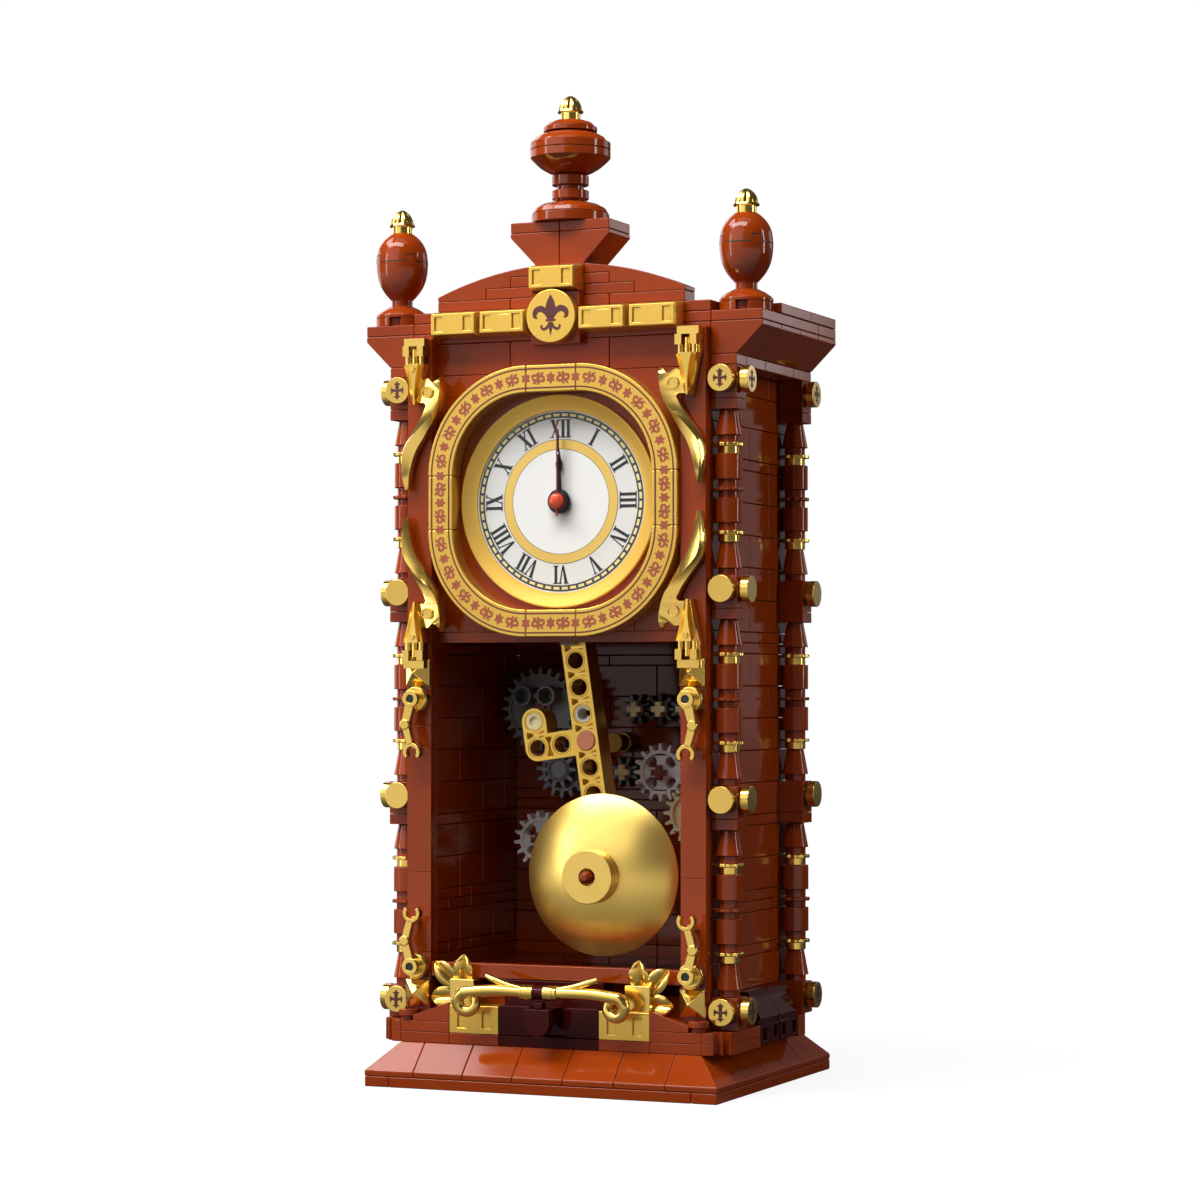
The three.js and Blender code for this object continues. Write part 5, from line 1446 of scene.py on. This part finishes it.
def socket():
    """A fluted socket that widens away from the horn, with a ridge that opens out like a fan."""
    stations = 12
    rings = []
    for i in range(stations + 1):
        share = i / stations
        half = 0.85 + 2.5 * share
        ridge = 0.3 + 1.55 * (max(0, share - 0.3) / 0.7) ** 1.7
        depth = 4.4 + 1.0 * share
        edge = [(ridge, 1.0), (ridge + 0.28, 0.68), (half - 0.18, 0.88), (half, 0.8), (half, 0.1)]
        flutes = [(-across, out) for across, out in reversed(edge)] + edge
        z = SOCKET_TIP + (SOCKET_ROOT - SOCKET_TIP) * share
        rings.append([(SOCKET_X + across, PILASTER_FRONT - depth * out, z) for across, out in flutes])
    return lofted(rings)


# The profiles of the boss in the horn's head and of the dot on a socket, from the front of the pilasters.
SCROLL_BOSS = ((1.75, -4.7), (1.75, -3), (0, -3), (0, -4.25), (1.4, -4.25), (1.4, -4.7), (1.75, -4.7))
SCROLL_DOT = ((0, -6.0), (0.8, -6.0), (0.95, -5.2), (0, -5.2))


def scroll_fittings():
    """The boss in the horn's head, and the rods, lugs and blocks that hold the socket."""
    shapes = [turned(raised(SCROLL_BOSS, PILASTER_FRONT), "Y", (4.93 * STUD, DIAL_Z + 4.12 * STUD))]
    foot, top = DIAL_Z + 5.86 * STUD, DIAL_Z + 6.16 * STUD
    for shift, radius, end in ((-2.2, 0.9, foot), (0, 0.95, foot - 1), (2.2, 0.9, foot)):
        centre = (SOCKET_X + shift, PILASTER_FRONT - 3.6)
        shapes.append(turned(disc(radius, SOCKET_ROOT - 0.5, end), "Z", centre, 24))
    for sign in SIDES:
        lug = span(SOCKET_X + 1.25 * sign, SOCKET_X + 3.4 * sign)
        shapes.append(box(lug, before_pilaster(5.3, 1), (foot - 3.1, foot)))
    shapes.append(box((SOCKET_X - 3.2, SOCKET_X + 3.6), before_pilaster(4), (foot, top)))
    shapes.append(box((SOCKET_X + 0.5, SOCKET_X + 3.6), before_pilaster(2.6), (SOCKET_ROOT, foot)))
    return shapes


def scrolls():
    shapes = [horn(), socket(), *scroll_fittings()]
    dot = turned(raised(SCROLL_DOT, PILASTER_FRONT), "Y", (SOCKET_X, SOCKET_ROOT - 1.7), 20)
    for corner, sign_x, sign_z in CORNERS:
        piece = Piece(f"scroll_{corner}_horn", bevel=0.12)
        for shape in shapes if corner == "upper_right" else [*shapes, dot]:
            piece.add(reflect(shape, sign_x, sign_z, DIAL_Z), SCROLL_GOLD)
        piece.finish(f"scroll_{corner}")


# Hook arms: a disc, a pierced boss, a jointed arm and an open claw.
HOOK_MIRROR_Z = 23.4 * PLATE
HOOK_DISC = ((0, -3.2), (3.4, -3.2), (3.85, -2.6), (3.85, 0), (0, 0))
NECK_PIN = 1.2


def hook_shapes():
    """The gold shapes of the upper right arm, and a black disc in the bore of its boss, painted shade for the
    hole.
    """
    boss = (5.5 * STUD, HOOK_MIRROR_Z + 12.4 * PLATE)
    elbow, hook = (boss[0] + 2, boss[1] - 7.6), (boss[0] - 0.2, boss[1] - 15.8)
    neck = (hook[0] + 0.5, hook[1] + 2.2)
    bore = 1.2
    front, back = y = before_pilaster(5.8, 3.4)
    joint = [(0, front - 0.5), (1.35, front - 0.5), (1.6, front - 0.2), (1.6, back), (0, back)]
    claw = arc(hook, 2.75, -42, 222, 26) + arc(hook, 1.65, 222, -42, 26)
    shapes = [
        turned(raised(HOOK_DISC, PILASTER_FRONT), "Y", boss, 40),
        turned(hoop(bore, 2.5, front - 0.6, PILASTER_FRONT - 3), "Y", boss),
        turned(joint, "Y", elbow, 28),
        prism(claw, "Y", y),
        prism(ribbon((boss, elbow), (2.9, 2.3)), "Y", y),
        prism(ribbon((elbow, neck), (2.3, 2.0)), "Y", y),
        turned(disc(NECK_PIN, back, PILASTER_FRONT), "Y", neck, 20),
    ]
    return shapes, turned(disc(bore, front - 0.2, front + 0.2), "Y", boss, 24)


def hook_arms():
    shapes, hollow = hook_shapes()
    for corner, *signs in CORNERS:
        piece = Piece(f"hook_arm_{corner}_claw", bevel=0.16)
        for shape in shapes:
            piece.add(reflect(shape, *signs, HOOK_MIRROR_Z), SCROLL_GOLD)
        # A black disc in the boss's bore: painted shade for the hole.
        piece.add(reflect(hollow, *signs, HOOK_MIRROR_Z), BLACK)
        piece.finish(f"hook_arm_{corner}")


# Pendulum: a pierced beam with a side arm, its pins, and a domed bob with a stacked hub.
SWING = Matrix.Translation(Vector((PIVOT[0], 0, PIVOT[2]))) @ Matrix.Rotation(-LEAN, 4, "Y")
BEAM_HOLES = [(0, -k * STUD) for k in range(10)]
ARM_HOLES = [(-STUD, -4 * STUD), (-2 * STUD, -4 * STUD), (-2 * STUD, -3 * STUD)]


def waist(a, b):
    """The hourglass recess between two neighbouring holes."""
    middle = (Vector(a) + Vector(b)) / 2
    ahead = (Vector(b) - Vector(a)).normalized()
    across = Vector((-ahead.y, ahead.x))
    edge = [(-2.9, -0.95), (-2.3, -1.0), (-1.0, -0.42)]
    profile = [*edge, (0, -0.32), *flip(edge[::-1])]
    ring = profile + [(u, -v) for u, v in reversed(profile)]
    shape = [middle + across * u + ahead * v for u, v in ring]
    return [(point.x, point.y) for point in shape]


def stadium(a, b, radius):
    heading = math.degrees(math.atan2(b[1] - a[1], b[0] - a[0]))
    return arc(b, radius, heading - 90, heading + 90, 16) + arc(a, radius, heading + 90, heading + 270, 16)


BEAM_LIP = 0.9
PIN_CAP = ((0, -0.5), (2.7, -0.5), (2.95, -0.3), (2.95, BEAM_LIP), (0, BEAM_LIP))


def beam_outlines():
    """The outlines of the shaft and of the arm that turns up at its end, each with its holes."""
    half, arm_z = STUD / 2 - 0.1, -4 * STUD
    bend, end = ARM_HOLES[1:]
    arm = [(-half, arm_z + half), (bend[0] + half, arm_z + half), *arc(end, half, 0, 180, 14),
           *arc(bend, half, 180, 270, 10), (-half, arm_z - half)]
    return (stadium((0, 0), BEAM_HOLES[-1], half), BEAM_HOLES), (arm, ARM_HOLES)


def pendulum_beam():
    piece = Piece("pendulum_beam_pierced", body="pendulum", bevel=0.15, transform=SWING)
    layers = courses([BEAM_FRONT, BEAM_FRONT + BEAM_LIP, BEAM_BACK - BEAM_LIP, BEAM_BACK])
    rim = hoop(2.52, 2.86, BEAM_FRONT + 0.1, BEAM_FRONT + 0.95)
    for outline, holes in beam_outlines():
        waists = [waist(a, b) for a, b in zip(holes, holes[1:])]
        for y, radius in zip(layers, (3.05, 2.5, 3.05)):
            piece.add(pierced(outline, [circle(hole, radius) for hole in holes] + waists, "Y", y), SATIN_GOLD)
        for loop in waists:
            piece.add(prism(loop, "Y", (BEAM_FRONT + 2.4, BEAM_BACK - 2.4)), BRIGHT_GOLD)
        for hole in holes:
            piece.add(turned(rim, "Y", hole), SATIN_GOLD)
    piece.add(turned(raised(PIN_CAP, BEAM_FRONT), "Y", BEAM_HOLES[4], 40), TERRACOTTA)
    bush = arc(BEAM_HOLES[3], 2.45, 25, 335, 26) + arc(BEAM_HOLES[3], 1.75, 335, 25, 26)
    piece.add(prism(bush, "Y", (BEAM_FRONT + 0.2, BEAM_BACK - 1)), WHITE)
    face, floor_y, back = BEAM_FRONT + 0.1, BEAM_FRONT + 0.7, BEAM_BACK - 1
    peg = [(1.5, face), (2.48, face), (2.48, back), (0, back), (0, floor_y), (1.5, floor_y), (1.5, face)]
    piece.add(turned(peg, "Y", ARM_HOLES[2]), TAN)
    piece.finish("pendulum_beam")


# Bob: a dome with a hollow back, a hub of three stacked rings and a stub in its bore.
BOB_RADIUS = 3 * STUD
BOB_RISE = 7.0
BOB_RIM = BEAM_FRONT - 1
BOB_WALL = 1.6
BOB_SPHERE = (BOB_RADIUS ** 2 + BOB_RISE ** 2) / (2 * BOB_RISE)
HUB_FACE = BEAM_FRONT - 13
HUB_LAYERS = 3
HUB_BORE = 2.5
STUB = ((0, -2.2), (1.0, -2.1), (1.7, -1.4), (1.9, -0.4))


def dome(reach):
    """The depth of the bob's front at a distance from its middle."""
    return BOB_RIM - (math.sqrt(BOB_SPHERE ** 2 - reach ** 2) - (BOB_SPHERE - BOB_RISE))


def pendulum_bob():
    piece = Piece("pendulum_bob_dome", body="pendulum", bevel=0.15, transform=SWING)
    centre = (0, -BOB_DROP)
    reaches = [BOB_RADIUS * (i / 20) for i in range(21)]
    front = [(reach, dome(reach)) for reach in reaches]
    edge = [(BOB_RADIUS, BOB_RIM + 0.6), (BOB_RADIUS * 0.985, BOB_RIM + 0.9)]
    back = [(reach, dome(reach) + BOB_WALL) for reach in reversed(reaches) if reach < BOB_RADIUS * 0.96]
    piece.add(turned(front + edge + back, "Y", centre, 96), BOB_GOLD)
    crown = dome(0)
    seat = crown + 1.2
    depth = (seat - HUB_FACE) / HUB_LAYERS
    for k in range(HUB_LAYERS):
        near = HUB_FACE + k * depth
        far = near + depth
        ring = [(HUB_BORE, near), (7.75, near), (7.95, near + 0.2), (7.95, far - 0.45), (7.5, far - 0.3),
                (7.5, far), (HUB_BORE, far), (HUB_BORE, near)]
        piece.add(turned(ring, "Y", centre, 64), BOB_GOLD)
    piece.add(turned(disc(4.1, seat, BEAM_FRONT), "Y", centre), BOB_GOLD)
    stub = [*raised(STUB, HUB_FACE), (1.9, crown), (0, crown)]
    piece.add(turned(stub, "Y", centre, 8))
    piece.finish("pendulum_bob")


# Gears: toothed wheels with webs, hubs, axles and holes, on the centres and phases of the solids.
# A flank of a tooth, as millimetres from the pitch circle and shares of the pitch from the tooth's middle.
FLANK = ((-1.2, 0.25), (-0.1, 0.19), (0.6, 0.13), (0.85, 0.07))
TOOTH = (*((rise, -share) for rise, share in FLANK), *FLANK[::-1])
FLANGE = 0.8


def gear_outline(centre, teeth, phase):
    pitch = 2 * math.pi / teeth
    return [polar(centre, teeth / 2 + rise, phase + (i + share) * pitch)
            for i in range(teeth) for rise, share in TOOTH]


def cross_outline(centre):
    """The plus-shaped section of an axle."""
    reach, half = 2.3, 0.9
    ring = []
    for turn in range(4):
        for corner in ((half, reach), (half, half), (reach, half)):
            u, v = rotated(*corner, -turn * math.pi / 2)
            ring.append((centre[0] + u, centre[1] + v))
    return ring


def ring_of_holes(centre, phase):
    """Four round holes through the web of a gear."""
    angles = [phase + math.pi / 2 * (i + 0.5) for i in range(4)]
    return [circle(polar(centre, 4.5, angle), 1.8, 20) for angle in angles]


def meshed_with(centre, teeth, phase, own_teeth, degrees):
    """The centre, teeth and phase of a gear that meshes with another in the direction given."""
    direction = math.radians(degrees)
    fraction = (direction - phase) * teeth / (2 * math.pi)
    own_phase = direction + math.pi - (0.5 - fraction) * 2 * math.pi / own_teeth
    return polar(centre, (teeth + own_teeth) / 2, direction), own_teeth, own_phase


def gear(name, centre, teeth, phase, material, axle, extras=(), holes=(), hub=2.7):
    piece = Piece(f"{name}_toothed", body=name, bevel=0.12)
    front, back = GEAR_FRONT, GEAR_FRONT + GEAR_WIDTH
    outline = gear_outline(centre, teeth, phase)
    if teeth > 10:
        opening = circle(centre, teeth / 2 - 2.2, 48)
        for y in ((front, front + FLANGE), (back - FLANGE, back)):
            piece.add(pierced(outline, [opening], "Y", y), material)
        piece.add(pierced(outline, holes, "Y", (front + FLANGE, back - FLANGE)), material)
    else:
        piece.add(prism(outline, "Y", (front, back)), material)
    piece.add(turned(disc(hub, front - 0.3, BACK_WALL_FRONT - 0.3), "Y", centre, 28), material)
    piece.add(prism(cross_outline(centre), "Y", (front - 2, BACK_WALL_FRONT + 2)), axle)
    for shape, finish in extras:
        piece.add(shape, finish)
    piece.finish(name)


def gears():
    top, middle, low = plates(34.8, 28.8, 22.2)
    x, z = large = (-3 * STUD, top)
    tube = hoop(2.35, 3.1, GEAR_FRONT - 5, GEAR_FRONT + 1)
    extras = [turned(tube, "Y", (x + STUD / 2 * sign, z + STUD / 2)) for sign in SIDES]
    extras.append(box((x - 2, x + 2), (GEAR_FRONT - 3, GEAR_FRONT), (z + 3.2, z + 4.8)))
    gear("gear_large", large, 24, 0, DARK_GREY, DARK_RED, [(shape, DARK_GREY) for shape in extras], hub=3.6)
    placed = meshed_with(large, 24, 0, 16, -68)
    front_gear = prism(gear_outline(placed[0], 10, 0), "Y", (GEAR_FRONT - 3, GEAR_FRONT + 1))
    face_ring = turned(hoop(2.6, 3.4, GEAR_FRONT - 3.4, GEAR_FRONT - 2.9), "Y", placed[0])
    extras = [(front_gear, DARK_GREY), (face_ring, BLACK)]
    gear("gear_middle_left", *placed, DARK_GREY, BLACK, extras, hub=3.6)
    right, pinion = (2 * STUD, middle), (2 * STUD, top)
    for name, centre, phase in (("gear_lower_left", (-3 * STUD, low), 0.1), ("gear_right", right, 0.0)):
        holes = ring_of_holes(centre, phase)
        gear(name, centre, 16, phase, LIGHT_GREY, DARK_RED, holes=holes, hub=2.45)
    gear("pinion_middle", pinion, 8, 0, BLACK, TAN)
    for name, degrees in (("pinion_left", 180), ("pinion_right", 0)):
        gear(name, *meshed_with(pinion, 8, 0, 8, degrees), BLACK, TAN)
    gear("pinion_side", *meshed_with(right, 16, 0, 8, 180), BLACK, TAN)
    gear("gear_tan", *meshed_with(right, 16, 0, 16, -52), TAN, DARK_RED)


def plain_nodes():
    """CAD solids that show as they are, with better materials."""
    for name, material in (("movement", BLACK), ("pivot_pin", DARK_GREY)):
        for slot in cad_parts[name].material_slots:
            slot.material = material


# Studio: pale floor, white surroundings, soft boxes, and the camera of the photograph.
def floor_material():
    """A white floor that keeps a faint shadow near the clock and throws little light back up."""
    material, tree, shader = blank("pale_floor")
    grain = add_noise(tree, scale=30, detail=2)
    path = tree.nodes.new("ShaderNodeLightPath")
    seen, in_gloss = path.outputs["Is Camera Ray"], path.outputs["Is Glossy Ray"]
    coords = tree.nodes.new("ShaderNodeTexCoord")
    reach = tree.nodes.new("ShaderNodeVectorMath")
    reach.operation = "LENGTH"
    tree.links.new(coords.outputs["Object"], reach.inputs[0])
    colour = mixed(tree, (0.06, 0.06, 0.06, 1), (0.9, 0.9, 0.9, 1), seen)
    tree.links.new(colour, shader.inputs["Base Color"])
    tree.links.new(remap(tree, grain, (0.3, 0.7), (0.85, 0.95)), shader.inputs["Roughness"])
    shader.inputs["Specular IOR Level"].default_value = 0.0
    glow = tree.nodes.new("ShaderNodeEmission")
    glow.inputs["Color"].default_value = (1, 1, 1, 1)
    glow.inputs["Strength"].default_value = 1.06
    near = remap(tree, reach.outputs["Value"], (0.14, 0.42), (0.82, 1.0))
    depth = tree.nodes.new("ShaderNodeSeparateXYZ")
    tree.links.new(coords.outputs["Object"], depth.inputs["Vector"])
    sheen = remap(tree, depth.outputs["Y"], (-0.35, -0.02), (0.85, 0.0))
    share = combine(tree, "MULTIPLY_ADD", sheen, in_gloss, combine(tree, "MULTIPLY", near, seen))
    mix = tree.nodes.new("ShaderNodeMixShader")
    tree.links.new(share, mix.inputs["Fac"])
    tree.links.new(shader.outputs["BSDF"], mix.inputs[1])
    tree.links.new(glow.outputs["Emission"], mix.inputs[2])
    tree.links.new(mix.outputs["Shader"], tree.nodes["Material Output"].inputs["Surface"])
    return material


def floor():
    reach = 6.0
    mesh = bpy.data.meshes.new("studio_floor")
    corners = [(x, y, 0) for x, y in rectangle((-reach, reach), (-reach, reach))]
    mesh.from_pydata(corners, [], [(0, 1, 2, 3)])
    mesh.materials.append(floor_material())
    piece = bpy.data.objects.new("studio_floor", mesh)
    bpy.context.scene.collection.objects.link(piece)


FRONT_LEFT = (-0.39, -0.92, 0)


def surroundings():
    """White for the camera and dim for the light on the clock. Its gloss shows white to the front left,
    from where it is lit."""
    world = bpy.data.worlds.new("studio_world")
    bpy.context.scene.world = world
    world.use_nodes = True
    tree = world.node_tree
    background = tree.nodes["Background"]
    background.inputs["Color"].default_value = (1, 1, 1, 1)
    path = tree.nodes.new("ShaderNodeLightPath")
    coords = tree.nodes.new("ShaderNodeTexCoord")
    heading = tree.nodes.new("ShaderNodeSeparateXYZ")
    tree.links.new(coords.outputs["Generated"], heading.inputs["Vector"])
    toward = tree.nodes.new("ShaderNodeVectorMath")
    toward.operation = "DOT_PRODUCT"
    toward.inputs[1].default_value = FRONT_LEFT
    tree.links.new(coords.outputs["Generated"], toward.inputs[0])
    low = remap(tree, heading.outputs["Z"], (0.3, 0.65), (1.0, 0.1))
    front = remap(tree, toward.outputs["Value"], (0.75, 0.98), (0.1, 0.82))
    band = combine(tree, "MULTIPLY", combine(tree, "MULTIPLY", low, front), path.outputs["Is Glossy Ray"])
    dim = remap(tree, band, (0, 1), (0.022, 1.0))
    level = combine(tree, "MAXIMUM", path.outputs["Is Camera Ray"], dim)
    tree.links.new(level, background.inputs["Strength"])


# Soft boxes: name, place in metres, what it faces, its two sides and its power in watts.
SOFT_BOXES = (
    ("key", (-0.3, -0.56, 1.12), (-0.3, 0, 0.1), (1.2, 0.34), 17.0),
    ("front_key", (-0.6, -1.2, 0.86), (-0.1, 0, 0.1), (1.8, 0.85), 6.0),
    ("front_left", (-1.0, -0.85, 0.3), (0.02, 0.03, 0.15), (0.16, 0.9), 3.0),
    ("left", (-1.25, 0.35, 0.25), (0, 0, 0.15), (0.7, 0.8), 3.0),
    ("overhead_left", (-0.86, -0.2, 1.2), (-0.86, -0.2, 0), (0.55, 0.6), 8.0),
    ("overhead_right", (0.0, -0.2, 1.2), (0, -0.2, 0), (0.8, 0.3), 0.8),
    ("side", (1.3, 0.25, 0.5), (0, 0, 0.15), (0.16, 0.8), 4.5),
    ("back_right", (0.85, 1.4, 0.19), (0.1, 0, 0.19), (0.8, 0.32), 0.1),
    ("back_top", (0.9, 1.4, 0.58), (0, 0, 0.3), (0.7, 0.44), 1.2),
    ("rim", (-0.9, 0.9, 0.6), (0, 0, 0.15), (0.5, 0.9), 2.5),
)


def put(name, data, position, ahead):
    """A lamp or camera in the scene, turned to look along a direction."""
    item = bpy.data.objects.new(name, data)
    item.location = position
    item.rotation_mode = "QUATERNION"
    item.rotation_quaternion = ahead.to_track_quat("-Z", "Y")
    bpy.context.scene.collection.objects.link(item)
    return item


def lights():
    for name, position, target, size, power in SOFT_BOXES:
        lamp = bpy.data.lights.new(name, "AREA")
        lamp.shape = "RECTANGLE"
        lamp.size, lamp.size_y = size
        lamp.energy = power
        put(name, lamp, Vector(position), Vector(target) - Vector(position))


# The photograph's camera, fitted to the brick grid: place and lens in millimetres, angles in degrees.
CAMERA_AT = (392.701, -911.011, 118.035)
CAMERA_AZIMUTH = 23.359
CAMERA_PITCH = 1.5275
FOCAL_LENGTH = 98.05
SENSOR_WIDTH = 36.0


def camera():
    azimuth, pitch = math.radians(CAMERA_AZIMUTH), math.radians(CAMERA_PITCH)
    level = math.cos(pitch)
    ahead = Vector((-math.sin(azimuth) * level, math.cos(azimuth) * level, math.sin(pitch)))
    lens = bpy.data.cameras.new("photo_camera")
    lens.sensor_width = SENSOR_WIDTH
    lens.lens = FOCAL_LENGTH
    lens.clip_start, lens.clip_end = 0.05, 20.0
    bpy.context.scene.camera = put("photo_camera", lens, Vector(CAMERA_AT) * MM, ahead)


def build():
    base_plate()
    skirt()
    plinth()
    side_aprons()
    lower_case()
    floor_and_sill()
    walls()
    back_wall()
    pilasters()
    apron_panel()
    apron_blocks()
    handle()
    for front in (True, False):
        for side, sign in NAMED_SIDES:
            column(f"column_{'front' if front else 'back'}_{side}", sign, front)
    cornice()
    roof_tiles()
    pediment()
    pedestal()
    frieze()
    globe()
    for side, sign in NAMED_SIDES:
        urn(side, sign)
    dial_board()
    bezel()
    dial()
    hands()
    scrolls()
    hook_arms()
    pendulum_beam()
    pendulum_bob()
    gears()
    plain_nodes()


camera()
floor()
surroundings()
lights()
build()
bpy.context.scene.view_settings.view_transform = "Standard"
